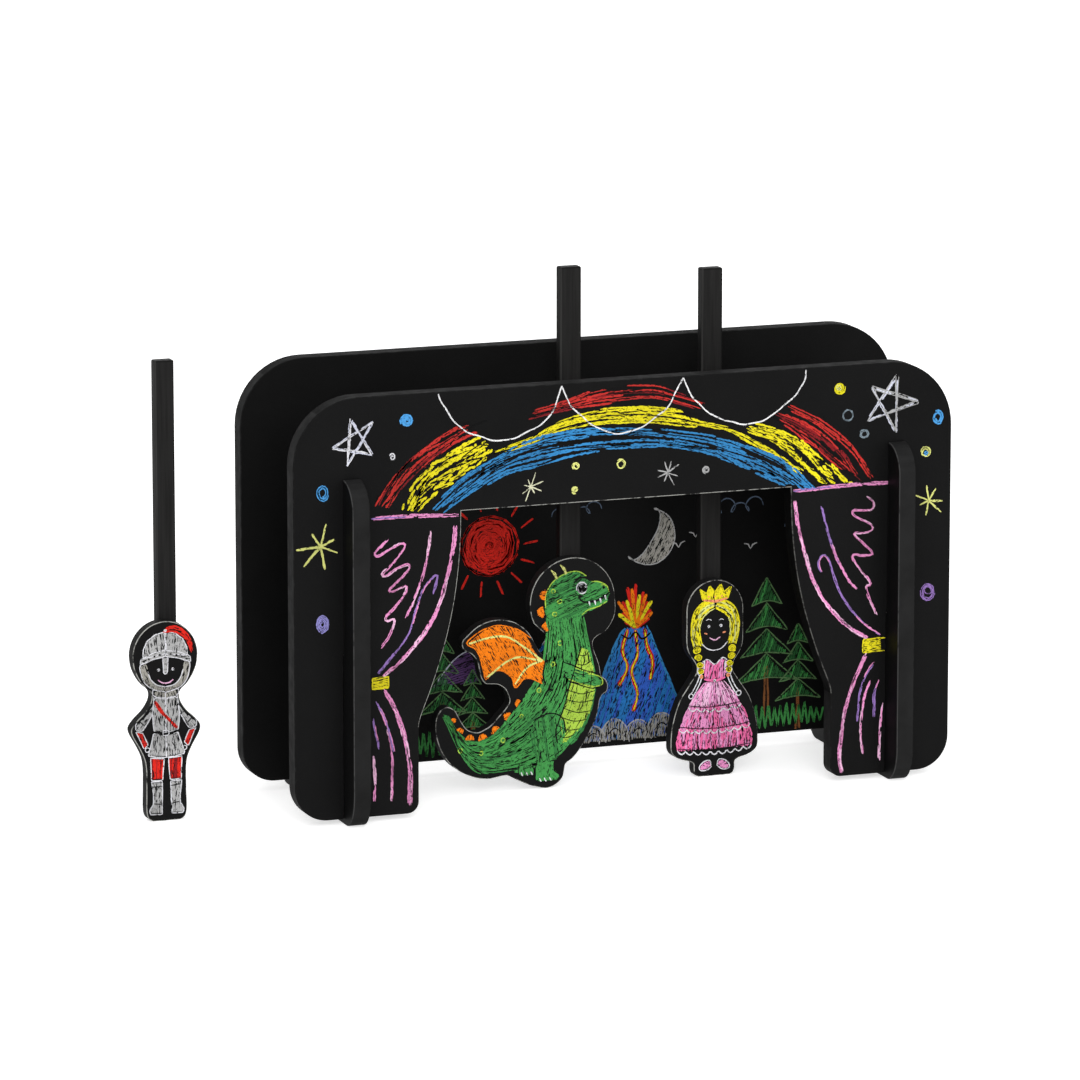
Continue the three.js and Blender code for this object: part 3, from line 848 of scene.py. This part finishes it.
PURPLE_LINES = [
    [(-87.6, 97), (-86.1, 105), (-89.5, 103), (-93, 98.4), (-96, 89.3), (-99.3, 80.2), (-104.7, 73.3),
     (-112.8, 64.5)],
    [(-113.6, 52.5), (-110, 44.5), (-107.2, 36), (-105.8, 30)],
    [(-115.3, 46), (-112.5, 31.5)],
    [(89.5, 123), (91.3, 115.5), (94.3, 106), (98, 97)],
    [(90.8, 92.2), (88.6, 96), (88.9, 99.6), (91, 101), (93.2, 98.4), (95.4, 91.6), (99, 83), (104.6, 75),
     (110.7, 68.8), (117.5, 64)],
    [(114.8, 52), (111, 47), (108, 38.6), (107, 26.3)],
    [(117, 44), (115, 38), (114.8, 27.6)],
]
LEFT_ZIGZAG = [(-107.5, 123), (-111, 119.5), (-114, 116.7), (-112.5, 115.2), (-106, 118.4), (-101.5, 120),
    (-100.8, 118), (-106, 111.5), (-110.5, 107.6), (-109, 106.4), (-103.5, 109.5), (-99.2, 110.6),
    (-98.8, 108.5), (-104, 103.5), (-107.6, 100.5), (-106.5, 99.2), (-102, 101), (-100, 101.3),
    (-100.5, 98.5), (-105, 93), (-109, 89), (-108.8, 87), (-105.8, 87.6), (-105.5, 85.5), (-108, 80),
    (-111.7, 75.4)]
RIGHT_ZIGZAG = [(109.6, 126.4), (113.6, 123.3), (113.3, 120), (109, 119.6), (104.7, 120), (104.7, 117.8),
    (112.2, 113.5), (113.4, 111), (110, 109.8), (105.7, 110), (105.3, 108.8), (113, 101.2), (112.3, 99.8),
    (108, 99.7), (104.8, 100.4), (104.9, 97.5), (112.5, 87.5), (110.5, 85), (115.6, 72.7)]
PINKS = ("pink", "pink", "pale_pink")
for points, width in zip(BROAD_PINK, (1.6, 1.9, 1.6, 1.8)):
    front.chalk(("pink", *PINKS), points, width, 1)
for points in THIN_PINK:
    front.chalk(PINKS, points, 1.05, 1)
for points in PURPLE_LINES:
    front.chalk(("purple", "purple", "pink"), points, 0.9, 2)
for points in (LEFT_ZIGZAG, RIGHT_ZIGZAG):
    front.chalk(PINKS, points, 1.0, 1, False, 0.05)
for left, right, low, high in ((-115.5, -76.5, 131.3, 130.5), (75.3, 120.5, 130.2, 131.1)):
    middle = ((left + right) / 2, (low + high) / 2 + 0.5)
    front.chalk("pink", [(left, low), middle, (right, high)], 1.5, 2)
    front.line("purple", [(left, low), (middle[0] - 4, middle[1])], 0.6, layer=3)
for left, right, low, high in ((-115.5, -108.2, 58, 62.7), (109.5, 121.3, 56.8, 62.6)):
    box = [(left, low), (right, low), (right, high), (left, high)]
    front.hatch("yellow", box, 4, 0.8, 0.75, 3, flecks=40)
    front.line("yellow", box + box[:1], 0.6, layer=4, straight=True)

front.finish(panel_coat)

# Backdrop: a smoking mountain, a capped peak, a hill, boulders, pines, grass, clouds, a sun and a moon

back = Drawing("back_panel", "back_board", 23, "back")

SUN = (-38, 101)
for radius, width, layer, turns in ((13, 1.15, 0, 11), (12, 0.9, 1, 8), (3, 1.0, 2, 3)):
    back.scribble("red", SUN, radius, width, layer, turns)
back.circle("red", SUN, 13.3, 0.7, 1, 2.1)
for i in range(14):
    angle = 2 * math.pi * i / 14
    back.line("red", [polar(SUN, 16, angle), polar(SUN, 22.5, angle + 0.04)], 0.7, repeats=2, straight=True)

MOON_RADIUS = 12.5
arc = [math.radians(70 + 220 * i / 16) for i in range(17)]
moon = [(math.cos(t), math.sin(t)) for t in arc]
moon += [(0.4 * math.cos(t) + 0.6 * math.cos(arc[0]), math.sin(t)) for t in arc[-2:0:-1]]
moon = turned([(MOON_RADIUS * x, MOON_RADIUS * z) for x, z in moon], (36, 100), 150)
back.hatch("stone", moon, 66, 0.75, 0.76, 0, flecks=24)
back.line("grey", moon + moon[:1], 0.5, layer=1, straight=True)

CONE = [(4, 10), (10, 26), (16, 42), (22, 56), (25, 60), (35, 60), (38, 55), (44, 40), (51, 24), (58, 10)]
back.hatch(("sea", "sea", "blue"), CONE, 70, 0.8, 0.84, 0, flecks=22)
for flank in ([(3.5, 9.5), *CONE[1:5]], [*CONE[5:9], (58.5, 9.5)]):
    back.line("sky", flank, 0.7, layer=2, repeats=2)
back.line("coat", [(23, 57), (27, 55), (30, 57.5), (33, 54.5), (37, 57)], 0.8, layer=5)
FLOWS = [
    [(26, 59), (24, 50), (26, 42), (22, 34)],
    [(30, 58.5), (31, 48), (28, 40), (31, 30), (29, 22)],
    [(34, 59), (35.5, 51), (38, 44), (37, 36)],
]
for flow in FLOWS:
    back.line("red", flow, 1.3, layer=3, repeats=2)
    back.line("yellow", flow, 0.6, layer=4)
for i in range(17):
    lean = math.radians(158 - 8.5 * i)
    reach = 17 - 0.12 * (i - 8) ** 2 + back.random.uniform(-2.5, 2.5)
    colour = ("red", "yellow", "red", "orange")[i % 4]
    tip = (30 + reach * math.cos(lean) * 0.75, 60 + reach * math.sin(lean))
    back.line(colour, [(30, 59.5), tip], 1.5, layer=3 + i % 2, straight=True)

PEAK = [(-34, 10), (-25, 34), (-16, 52), (-9, 64), (-1, 48), (8, 28), (16, 10)]
back.hatch(("sea", "sea", "blue"), PEAK, 108, 0.85, 0.82, 0, flecks=20)
CAP = [(-13.5, 55), (-11, 57), (-9, 54), (-6.6, 57), (-4, 54), (-9, 64)]
back.hatch("grey", CAP, 96, 0.85, 0.7, 2)
back.line("white", CAP + CAP[:1], 0.6, layer=3, straight=True)
HILL = [(-64, 40), (-54, 52), (-44, 56), (-33, 52), (-24, 42)]
back.hatch("plum", HILL, 14, 1.0, 0.8, 1, flecks=14)
back.line("lavender", HILL, 0.55, layer=2)

BOULDERS = ((10, 9, 6, 8), (20, 8.5, 7, 11), (31, 9, 6.5, 9), (42, 8.5, 7.5, 12), (53, 9, 5.5, 8))
for x, z, half, tall in BOULDERS:
    stone = [polar((x, z), half, math.radians(a), tall / half) for a in range(0, 181, 20)]
    back.hatch("stone", stone, 86, 0.85, 0.75, 3, flecks=34)
    back.line("grey", stone, 0.55, layer=4)
    crack = [(x - half * 0.4, z + tall * 0.35), (x, z + tall * 0.6), (x + half * 0.35, z + tall * 0.5)]
    back.line("coat", crack, 0.5, layer=6)

for x, z, tall in ((-60, 20, 44), (-46, 14, 33), (92, 20, 58), (107, 14, 42)):
    for side in (-0.8, 0.8):
        back.line("brown", [(x + side, z - 6), (x + side * 0.6, z + tall * 0.3)], 0.7, layer=0, repeats=2)
    for level in range(4):
        top = z + tall * (0.4 + 0.2 * level)
        half = tall * (0.26 - 0.045 * level)
        drop = tall * 0.22
        tier = [(x, top), (x + half * 0.45, top - drop * 0.6), (x + half, top - drop), (x, top - drop * 0.85),
            (x - half, top - drop), (x - half * 0.45, top - drop * 0.6)]
        back.hatch(("pine", "pine", "leaf"), tier, 72, 0.9, 0.75, 1 + level % 2, flecks=10)
        back.line("moss", tier[2:5], 0.55, layer=3)
        back.line("moss", [tier[2], tier[0], tier[4]], 0.55, layer=3, straight=True)

for start, stop, low in ((-76, -24, 10), (80, 118, 10)):
    for _ in range(2):
        x = start
        grass = []
        while x < stop:
            grass.append((x, low + back.random.uniform(-1.5, 1)))
            grass.append((x + 1.4, low + 9 + back.random.uniform(-3, 2)))
            x += 2.9
        back.line("leaf", grass, 0.75, layer=4, straight=True)

for x, z, size in ((-6, 112, 5), (66, 108, 6), (104, 100, 5)):
    cloud = []
    for bump in range(4):
        cloud += ring((x + bump * size * 1.1, z + (bump % 2) * size * 0.4), size * 0.7, math.pi, -0.5)
    back.line("slate", cloud, 0.55, layer=1)
for x, z in ((50, 95), (58, 99), (84, 92)):
    wings = [(x - 3, z + 1.5), (x - 1, z + 1.2), (x, z - 0.6), (x + 1.2, z + 1.2), (x + 3.2, z + 1.8)]
    back.line("grey", wings, 0.5)

back.finish(back_coat)

# Dragon: measured from the head's middle

DRAGON_REACH = 62.9
dragon = Drawing("dragon_figure", "dragon", 31, "dragon", 2.3, DRAGON_REACH)

HEAD = [(-9.5, 68), (-12, 73), (-13, 79), (-12.3, 86), (-9, 91.5), (-3.5, 94.8), (2.5, 95), (6.5, 92.5),
    (8.5, 90.2), (12, 90), (15.8, 88), (17.2, 84.5), (16.2, 80.8), (12, 78.4), (7, 77.2), (4, 74.5),
    (3.5, 68)]
BACK_LINE = [(-12.2, 75), (-11.3, 66), (-13, 58), (-17, 50), (-22.5, 41.5), (-27.5, 35), (-33, 29),
    (-38.5, 24.8), (-44.5, 23.4), (-49.8, 25.4), (-53.6, 30), (-56.6, 35.6)]
FRONT_LINE = [(5.5, 75.5), (6.8, 67), (9, 57), (10.3, 48), (9.8, 38), (7, 29), (1, 20), (-9, 12.5), (-25, 8),
    (-46, 11), (-60.5, 37)]
GREENS = ("leaf", "leaf", "fern")
dragon.hatch(GREENS, HEAD, 22, 0.62, 0.7, 1, 2.0)
dragon.fleck(HEAD[2:-3], 22, 20, 2.0)
dragon.between(("leaf", "leaf", *GREENS), BACK_LINE, FRONT_LINE, 27, 2, (0.12, 0.3), 0.02, 0.5, 1.25, 240,
    2.1)
for points in (
    [(-12.6, 80), (-12, 86.5), (-8.8, 91.4), (-3.4, 94.7), (2.5, 94.9), (6.3, 92.6)],
    [(8.6, 90), (12, 89.8), (15.6, 87.8), (16.9, 84.6)],
    [(4.2, 75.6), (7.2, 77.7), (12, 78.8), (15.8, 81)],
):
    dragon.line("lime", points, 0.45, layer=3)

CHEST = [(3.8, 62), (7.4, 60), (9.8, 51), (10.2, 42), (8.4, 33), (3.5, 25.5), (-3.5, 19.6), (-7, 19.6),
    (-7.5, 26), (-4.5, 34), (-2, 43), (1, 52)]
dragon.hatch("lime", CHEST, 66, 0.56, 0.7, 4, 2.2, 8)
belly_left = curve(CHEST[7:] + CHEST[:1])
belly_right = curve(CHEST[:7])[::-1]
BELLY_BANDS = 11
for i in range(1, BELLY_BANDS):
    share = i / BELLY_BANDS
    a = belly_left[round(share * (len(belly_left) - 1))]
    b = belly_right[round(share * (len(belly_right) - 1))]
    sag = (a[0] * 0.5 + b[0] * 0.5, a[1] * 0.5 + b[1] * 0.5 - 1.3)
    dragon.slit([a, sag, b], 0.35, waver=0.08)
dragon.slit(belly_left, 0.55)

# Rounded plates on the back: the middle of each, the way it leans in degrees, and its size
PLATES = (
    ((-11.5, 71.8), 190, 2.9), ((-13, 78.4), 184, 3.3), ((-12.2, 85.2), 160, 3.1), ((-24.4, 38.6), 140, 2.4),
    ((-29.4, 32.8), 136, 2.6), ((-35, 27.2), 124, 2.7), ((-41.2, 23.8), 102, 2.8), ((-47.4, 24), 78, 2.7),
    ((-52.2, 28), 48, 2.4), ((-55.4, 33), 30, 2.0),
)
for base, lean, size in PLATES:
    half_ring = [polar((0, 0), size, math.pi * step / 8) for step in range(9)]
    shape = turned([(1.15 * out, 0.85 * side) for side, out in half_ring], base, lean)
    dragon.hatch("orange", shape, lean + 8, 0.55, 0.68, 4, 1.0, 16)
    dragon.slit(shape, 0.4, straight=True)

WING = [(-12.5, 60), (-16.5, 64.5), (-21.5, 69), (-27.5, 72.5), (-34.5, 74), (-41.5, 72.2), (-48.4, 67.4),
    (-44.8, 64.6), (-42.4, 60.2), (-41.2, 55), (-39.9, 50.4), (-36.4, 53.6), (-32, 53.6), (-28, 50.4),
    (-26.4, 46), (-22.6, 49.4), (-18.4, 49.2), (-14, 46.6)]
dragon.hatch("orange", WING, 124, 0.6, 0.76, 3, 1.9, 14)
WING_ROOT = (-13.8, 57)
for tip, rise in (((-47.6, 67), 6.5), ((-39.6, 51.6), 4.6), ((-26.6, 47.4), 2.6)):
    bow = (WING_ROOT[0] * 0.5 + tip[0] * 0.5, WING_ROOT[1] * 0.5 + tip[1] * 0.5 + rise)
    dragon.line("pale_yellow", [WING_ROOT, bow, tip], 0.85, layer=5)
dragon.line("orange", WING, 0.55, layer=5)
dragon.slit([(-12.4, 46), (-13.6, 51), (-12.9, 56), (-11.8, 60)], 0.6)

ARM = [(-4, 55), (1, 52.5), (7, 49.6), (12.5, 48), (14, 46.2), (13.4, 44), (9, 43.8), (3.5, 45.6), (-2, 48),
    (-5, 51)]
dragon.hatch("leaf", ARM, 158, 0.58, 0.7, 6, 1.5, 14)
dragon.line("lime", ARM[2:9], 0.45, layer=7)
dragon.slit([(-4.5, 55.6), (1, 53.4), (7, 50.6), (12, 49)], 0.5)
dragon.slit([(12.5, 43), (9, 42.8), (3.5, 44.6), (-2, 47)], 0.5)
THIGH = [(-17.5, 31), (-10, 33.5), (-4.5, 30.5), (-3, 24), (-5.5, 17), (-7.5, 12), (-15.5, 11.5), (-18.5, 17),
    (-20.5, 24)]
dragon.hatch(("leaf", *GREENS), THIGH, 98, 0.6, 0.72, 5, 2.0, 16)
dragon.slit(THIGH[:4], 0.55)
FEET = (
    (0, 0, [(-16.5, 12), (-17.5, 7.5), (-16.6, 3.6), (-11, 2.9), (-6.8, 3.4), (-6.2, 5.8), (-8.4, 8),
     (-8.5, 12)]),
    (-8.6, 3.2, [(-15.8, 9), (-16.4, 5.5), (-15.6, 3.4), (-11, 2.9), (-9.4, 3.6), (-9.4, 6), (-10.2, 9)]),
)
for dx, dz, points in FEET:
    foot = [(x + dx, z + dz) for x, z in points]
    dragon.hatch("leaf", foot, 90, 0.6, 0.68, 6, 1.4, 12)
    dragon.slit(foot, 0.4)
    for x in (-15.2, -13, -10.8):
        dragon.line("white", [(x + dx, 4.9 + dz), (x + dx + 0.8, 3.3 + dz)], 0.6, layer=9, straight=True)

dragon.scribble("white", (4.2, 87.4), 2.9, 1.25, 6, 3.2, 1.15)
dragon.scribble("coat", (5.2, 87.2), 1.6, 0.8, 8, 2.2, 1.15)
dragon.scribble("white", (5.8, 88.1), 0.5, 0.45, 9, 1)
dragon.slit([(0.4, 90.2), (2.6, 92), (5.4, 92.2), (8, 90.6)], 0.8)
dragon.slit([(0.9, 86.2), (2.6, 84), (5.2, 83.6)], 0.4)
dragon.scribble("coat", (14.2, 87), 0.8, 0.5, 8, 1.2)
dragon.line("lime", [(12.9, 88.4), (14.4, 88.6), (15.4, 87.6)], 0.4, layer=7)
dragon.slit([(3, 83), (5, 81.4), (8, 81), (11.4, 81.6), (14.4, 83), (17, 85)], 0.85)
for x, z in ((7.4, 81), (10, 81.2), (12.5, 82), (14.8, 83.2)):
    fang = [(x, z + 0.5), (x + 0.3, z - 0.5), (x + 0.5, z - 1.6)]
    dragon.stroke("white", fang, [1.0, 0.7, 0.3], 9, 0.0, 0.6, 0.1)
for x, z in ((-3, 94.2), (-7.2, 92.2)):
    horn = [(x, z), (x - 1.2, z + 2.6), (x - 2.8, z + 4.3)]
    dragon.stroke("pale_yellow", horn, [1.7, 1.2, 0.5], 5, 0.0, 0.5, 0.1)
SPOTS = [(-8.5, 77), (-6, 82.5), (-9, 87), (-6, 64), (-9, 55), (-15.5, 44), (-23.5, 33), (-32, 23), (-42, 18),
    (-51.5, 20)]
for spot in SPOTS:
    dragon.circle("lime", spot, 0.9, 0.4, 4, 1.1)

dragon.finish(figure_coat)

# Princess: measured from her middle

princess = Drawing("princess_figure", "princess", 41, "princess", 2.0)

GOWN_EDGE = curve([(4.3, 43), (7.8, 38.5), (11.4, 33), (14.6, 27), (17, 20.5), (17.9, 15), (17.2, 12)], 0.5)


def gown_half(height):
    """Half the gown's width at a height."""
    return min(GOWN_EDGE, key=lambda p: abs(p[1] - height))[0]


GOWN_TIERS = (
    (12.5, 22.8, ("deep_pink", "deep_pink", "pink"), 60),
    (22, 32.3, ("pink", "pink", "deep_pink"), 44),
    (31.5, 42.5, ("pale_pink", "pink"), 26),
)
for low, high, colours, slits in GOWN_TIERS:
    levels = ((high, high - 0.4), ((low + high) / 2, (low + high) / 2), (low, low - 0.4))
    right = [(gown_half(at), z) for at, z in levels]
    left = mirrored(right, -1)
    count = round(gown_half(low) * 2 / 0.8)
    princess.between(colours, left, right, count, 0, (0.4, 1.1), 0.04, 0.4, 1.2, slits, 1.8)
for low, high, colours, slits in GOWN_TIERS:
    half = gown_half(low)
    count = round(half / 1.9)
    scallops = []
    for i in range(count * 4 + 1):
        t = -1 + 2 * i / (count * 4)
        dip = (0.0, 1.1, 1.5, 1.1)[i % 4]
        scallops.append((half * t, low - 1.5 * (1 - t * t) - dip))
    princess.line("white", scallops, 0.55, layer=3, waver=0.05)
    princess.slit([(x, z + 0.9) for x, z in scallops[::4]], 0.35)
BODICE = [(-4.2, 43), (-5.6, 47), (-6.4, 50.4), (-3.5, 52.4), (0, 49.8), (3.5, 52.4), (6.4, 50.4), (5.6, 47),
    (4.2, 43)]
princess.hatch(("pink", "pink", "deep_pink"), BODICE, 82, 0.56, 0.66, 1, 1.3, 26)
princess.line("white", [(-6.2, 50.8), (-3.5, 52.4), (0, 49.6), (3.5, 52.4), (6.2, 50.8)], 0.5, layer=4)
princess.line("deep_pink", [(-4.6, 43.4), (0, 42.4), (4.6, 43.4)], 1.0, layer=3, repeats=2)
princess.scribble("white", (0, 42.6), 0.9, 0.5, 4, 1.5)
SLEEVE = [(5, 51.8), (7.2, 50.4), (8, 47.6), (7.4, 45.4), (5.8, 46), (5, 48.6)]
ARM_LINES = (
    [(7.2, 45.4), (8.2, 42.6), (9.9, 39.2), (11.2, 37.4)],
    [(5.9, 45.4), (6.8, 42), (8.6, 38.2), (9.8, 36.4)],
)
SHOE = [(1.4, 4.4), (3.4, 2.9), (6.4, 2.8), (7, 4.6), (4.6, 6.8), (2, 7)]
LOCK_OUTER = [(0.3, 78.6), (5, 77.8), (9.2, 74.6), (11, 69), (11, 63), (9.8, 58)]
LOCK_INNER = [(0.2, 74.6), (3.4, 72.8), (6, 70), (6.9, 66.4), (6.8, 62), (5.8, 58.4)]
YELLOWS = ("yellow", "yellow", "pale_yellow")
for side in (-1, 1):
    sleeve = mirrored(SLEEVE, side)
    princess.hatch("pale_pink", sleeve, 90 - side * 30, 0.52, 0.6, 2, 0.9, 12)
    princess.line("white", sleeve + sleeve[:1], 0.45, layer=3)
    for points in ARM_LINES:
        princess.line("white", mirrored(points, side), 0.45, layer=3)
    princess.circle("white", (side * 11.2, 36.2), 1.1, 0.4, 3, 1.1)
    shoe = mirrored(SHOE, side)
    princess.hatch("pink", shoe, 30 * side, 0.52, 0.6, 1, 1.2, 14)
    princess.line("white", shoe + shoe[:1], 0.4, layer=2)
    outer = mirrored(LOCK_OUTER, side)
    inner = mirrored(LOCK_INNER, side)
    princess.between(YELLOWS, outer, inner, 8, 1, (0.3, 0.8), 0.03, 0.4, 1.2, 20, 1.2)
    princess.line("yellow", outer, 0.5, layer=3)
    for step, (x, z) in enumerate(((8.2, 56.6), (7.6, 53.2), (6.9, 50), (6.5, 47))):
        size = 2.2 - 0.18 * step
        princess.scribble("yellow", (side * x, z), size, 0.75, 5, 2.4, 0.85)
        fold = [(x - size, z + size * 0.5), (x, z + size * 0.95), (x + size, z + size * 0.5)]
        princess.slit(mirrored(fold, side), 0.35)
    princess.scribble("salmon", (side * 6.3, 44.6), 1.1, 0.5, 6, 1.6)
    princess.scribble("white", (side * 2.8, 66.8), 0.8, 0.5, 3, 1.5)
    princess.line("white", mirrored([(1.7, 69.4), (2.9, 70), (4.1, 69.4)], side), 0.35, layer=3)
    princess.line("salmon", mirrored([(3.6, 63.6), (5, 64)], side), 0.7, layer=3)
princess.line("pale_pink", [(-2.4, 61.9), (0, 60.8), (2.4, 61.9)], 0.5, layer=3)
princess.line("white", [(-6, 59.4), (-3.2, 56.8), (0, 55.9), (3.2, 56.8), (6, 59.4)], 0.45, layer=2)
CROWN = [(-5.8, 78.6), (-7.4, 84), (-4, 81.6), (-2.6, 85.2), (0, 82), (2.6, 85.2), (4, 81.6), (7.4, 84),
    (5.8, 78.6), (0, 77.6)]
princess.hatch("yellow", CROWN, 84, 0.5, 0.62, 3, 0.9, 8)
princess.line("yellow", CROWN + CROWN[:1], 0.5, layer=4, straight=True)
princess.line("salmon", [(-5.8, 78.7), (0, 77.8), (5.8, 78.7)], 0.8, layer=5, repeats=2)
for x in (-3, 0, 3):
    princess.scribble("salmon", (x, 80), 0.5, 0.4, 6, 1)

princess.finish(figure_coat)

# Knight: measured from the figure's middle

knight = Drawing("knight_figure", "knight", 53, "knight", 1.6)


def plated(outline, angle, slits, colours="grey", layer=1):
    """A piece of the knight's dress: close scratches inside a thin outline."""
    knight.hatch(colours, outline, angle, 0.5, 0.58, layer, 1.3, slits)
    knight.line("white", outline + outline[:1], 0.4, layer=4, straight=True, waver=0.1)


CHEEK = [(8.2, 69.2), (10.9, 68.2), (10.6, 64), (8.8, 60.2), (5.4, 57.4), (0, 56), (0, 58.4), (4, 59.4),
    (6.6, 62), (7.8, 65.4)]

# Each piece of dress: outline on one side, angle of its scratches, what each side adds to it, slits,
# and colours and layer where they differ from the rule
HELMET = (([(0, 82.2), (4.4, 81.4), (8, 78.6), (9.7, 74.8), (9.8, 71.4), (0, 72.6)], 90, -10, 26),)
UPPER_DRESS = (
    ([(0, 74.2), (5.4, 73.4), (10.9, 71), (11.2, 68.4), (5.6, 70.6), (0, 71.4)], 90, 78, 18, "grey", 2),
    ([(0, 56), (5.6, 57.4), (5.8, 55.2), (3.4, 53.6), (0, 53)], 90, 20, 20, "stone"),
    ([(5.2, 54.2), (7.6, 50.8), (11, 46.6), (13.6, 42.6), (13.4, 40.2), (10.4, 39.8), (7.8, 43.6), (6, 46.8)],
     90, 36, 26),
    ([(13.2, 39.6), (10.3, 39), (7.8, 33.8), (9.8, 31.8)], 90, -24, 14, "red"),
)
LOWER_DRESS = (
    ([(0, 53.4), (3.4, 54), (5.4, 53.2), (5.9, 47), (5.8, 43), (5.3, 39.2), (0, 38.4)], 90, -4, 30),
    ([(0, 37.6), (5.4, 38.4), (6.8, 33.4), (8.2, 28.8), (4, 27.9), (0, 27.6)], 90, 6, 30),
    ([(0.9, 27.2), (7, 27.8), (6.6, 18), (1.7, 17.8)], 88, 0, 14, ("red", "red", "deep_red")),
    ([(1.8, 17.2), (6.7, 17.4), (5.9, 11), (6, 7.4), (7.7, 5), (7.3, 3.1), (2.2, 3)], 88, 0, 26),
)


def dress(side, pieces):
    for outline, angle, turn, *look in pieces:
        plated(mirrored(outline, side), angle + turn * side, *look)


for side in (-1, 1):
    dress(side, HELMET)
    knight.hatch("stone", mirrored(CHEEK, side), 90 - 20 * side, 0.5, 0.56, 1, 1.3, 26)
    for points in (CHEEK[:6], CHEEK[6:]):
        knight.line("white", mirrored(points, side), 0.4, layer=4)
    dress(side, UPPER_DRESS)
    knight.circle("white", (side * 8.3, 31.4), 1.0, 0.35, 4, 1.1)
    knight.slit(mirrored([(12.4, 44.8), (9.6, 42)], side), 0.5)
    dress(side, LOWER_DRESS)
    for joint in ([(1.9, 15.2), (6.4, 15.4)], [(2, 7.6), (5.8, 7.8)]):
        knight.slit(mirrored(joint, side), 0.45)
    for x, z in ((2.4, 72.4), (4.9, 71.8), (7.3, 70.9), (9.5, 69.9)):
        knight.scribble("coat", (side * x, z), 0.55, 0.4, 8, 1.2)
    knight.scribble("white", (side * 3.2, 65.8), 0.85, 0.5, 3, 1.5)
knight.line("white", [(0, 82.2), (0.2, 74.2)], 0.5, layer=5)
NOSE_GUARD = [(-1.2, 71.4), (1.2, 71.4), (0.9, 64.4), (0, 63.6), (-0.9, 64.4)]
plated(NOSE_GUARD, 90, 0, layer=3)
PLUME_OVER = [(-1, 82.4), (1.6, 84.6), (5.4, 84.4), (9, 81.8), (11.4, 78), (12.4, 73.4)]
PLUME_UNDER = [(-0.6, 82), (3.4, 81.8), (6.6, 80.4), (9.2, 77.8), (10.6, 75.2), (11.4, 72.2)]
knight.between("red", PLUME_OVER, PLUME_UNDER, 5, 5, (0.3, 0.8), 0.08, 0.5, 1.15, 4, 1.2)
knight.scribble("white", (0, 82.8), 0.8, 0.45, 6, 1.4)
knight.line("pale_pink", [(-3.4, 61.4), (-1.4, 60.2), (1.4, 60.2), (3.4, 61.4)], 0.5, layer=3)
knight.line("red", [(-5.2, 52), (-1.6, 47.4), (1.8, 43.4), (4.8, 40)], 1.2, layer=5, repeats=2)
knight.slit([(-5.4, 39), (0, 38), (5.4, 39)], 1.0)
BUCKLE = [(-1.2, 37.3), (1.2, 37.3), (1.2, 39.2), (-1.2, 39.2), (-1.2, 37.3)]
knight.line("white", BUCKLE, 0.4, layer=9, straight=True)

knight.finish(figure_coat)

# Studio

WORLD_LEVEL = 0.38
FLOOR_HALF = 8.0
FLOOR_PARTS = 8
FLOOR_TONE = 0.86
FLOOR_LIFT = 0.6
SUN_TARGET = Vector((0.0, 0.0, 0.1))
WHITE = (1, 1, 1, 1)


def soft_sun(name, place, strength, spread):
    data = bpy.data.lights.new(name, "SUN")
    data.energy = strength
    data.angle = math.radians(spread)
    lamp = new_object(name, data)
    lamp.location = place
    lamp.rotation_euler = (SUN_TARGET - Vector(place)).to_track_quat("-Z", "Y").to_euler()


def seen_level(tree, unseen, seen):
    """One level where a ray comes straight from the camera, off a gloss or through glass, and another one
    elsewhere."""
    rays = add_node(tree, "ShaderNodeLightPath").outputs
    straight = rays["Is Camera Ray"]
    for other in (rays["Is Glossy Ray"], rays["Is Transmission Ray"]):
        either = add_node(tree, "ShaderNodeMath")
        either.operation = "MAXIMUM"
        tree.links.new(straight, either.inputs[0])
        tree.links.new(other, either.inputs[1])
        straight = either.outputs[0]
    level = add_node(tree, "ShaderNodeMapRange", Value=straight, To_Min=unseen, To_Max=seen)
    return level.outputs["Result"]


world = bpy.data.worlds.new("studio")
bpy.context.scene.world = world
world.use_nodes = True
sky = world.node_tree
plug(sky, sky.nodes["Background"], Color=WHITE, Strength=seen_level(sky, WORLD_LEVEL, 1.0))

work = bmesh.new()
bmesh.ops.create_grid(work, x_segments=FLOOR_PARTS, y_segments=FLOOR_PARTS, size=FLOOR_HALF)
floor_mesh = bpy.data.meshes.new("studio_floor")
work.to_mesh(floor_mesh)
work.free()
ground = Surface("studio_floor", 0.0)
plug(ground.tree, ground.shader, Base_Color=(FLOOR_TONE, FLOOR_TONE, FLOOR_TONE, 1), Roughness=0.9,
     Emission_Color=WHITE, Emission_Strength=seen_level(ground.tree, 0.0, FLOOR_LIFT))
floor_mesh.materials.append(ground.material)
piece = new_object("studio_floor", floor_mesh)

soft_sun("key", (-0.9, -2.7, 1.25), 1.75, 40)
soft_sun("fill", (1.6, -2.4, 1.0), 0.35, 60)
soft_sun("top", (0.0, -0.5, 2.8), 0.9, 80)
soft_sun("back", (0.8, 2.6, 1.3), 0.7, 60)
bpy.context.scene.view_settings.view_transform = "Standard"

view = bpy.data.cameras.new("camera")
view.lens = CAMERA_LENS
view.sensor_width = SENSOR
view.sensor_fit = "HORIZONTAL"
view.clip_end = CLIP_END
camera = new_object("camera", view)
camera.location = CAMERA_PLACE
camera.rotation_euler = (CAMERA_TILT, 0.0, CAMERA_TURN)
bpy.context.scene.camera = camera
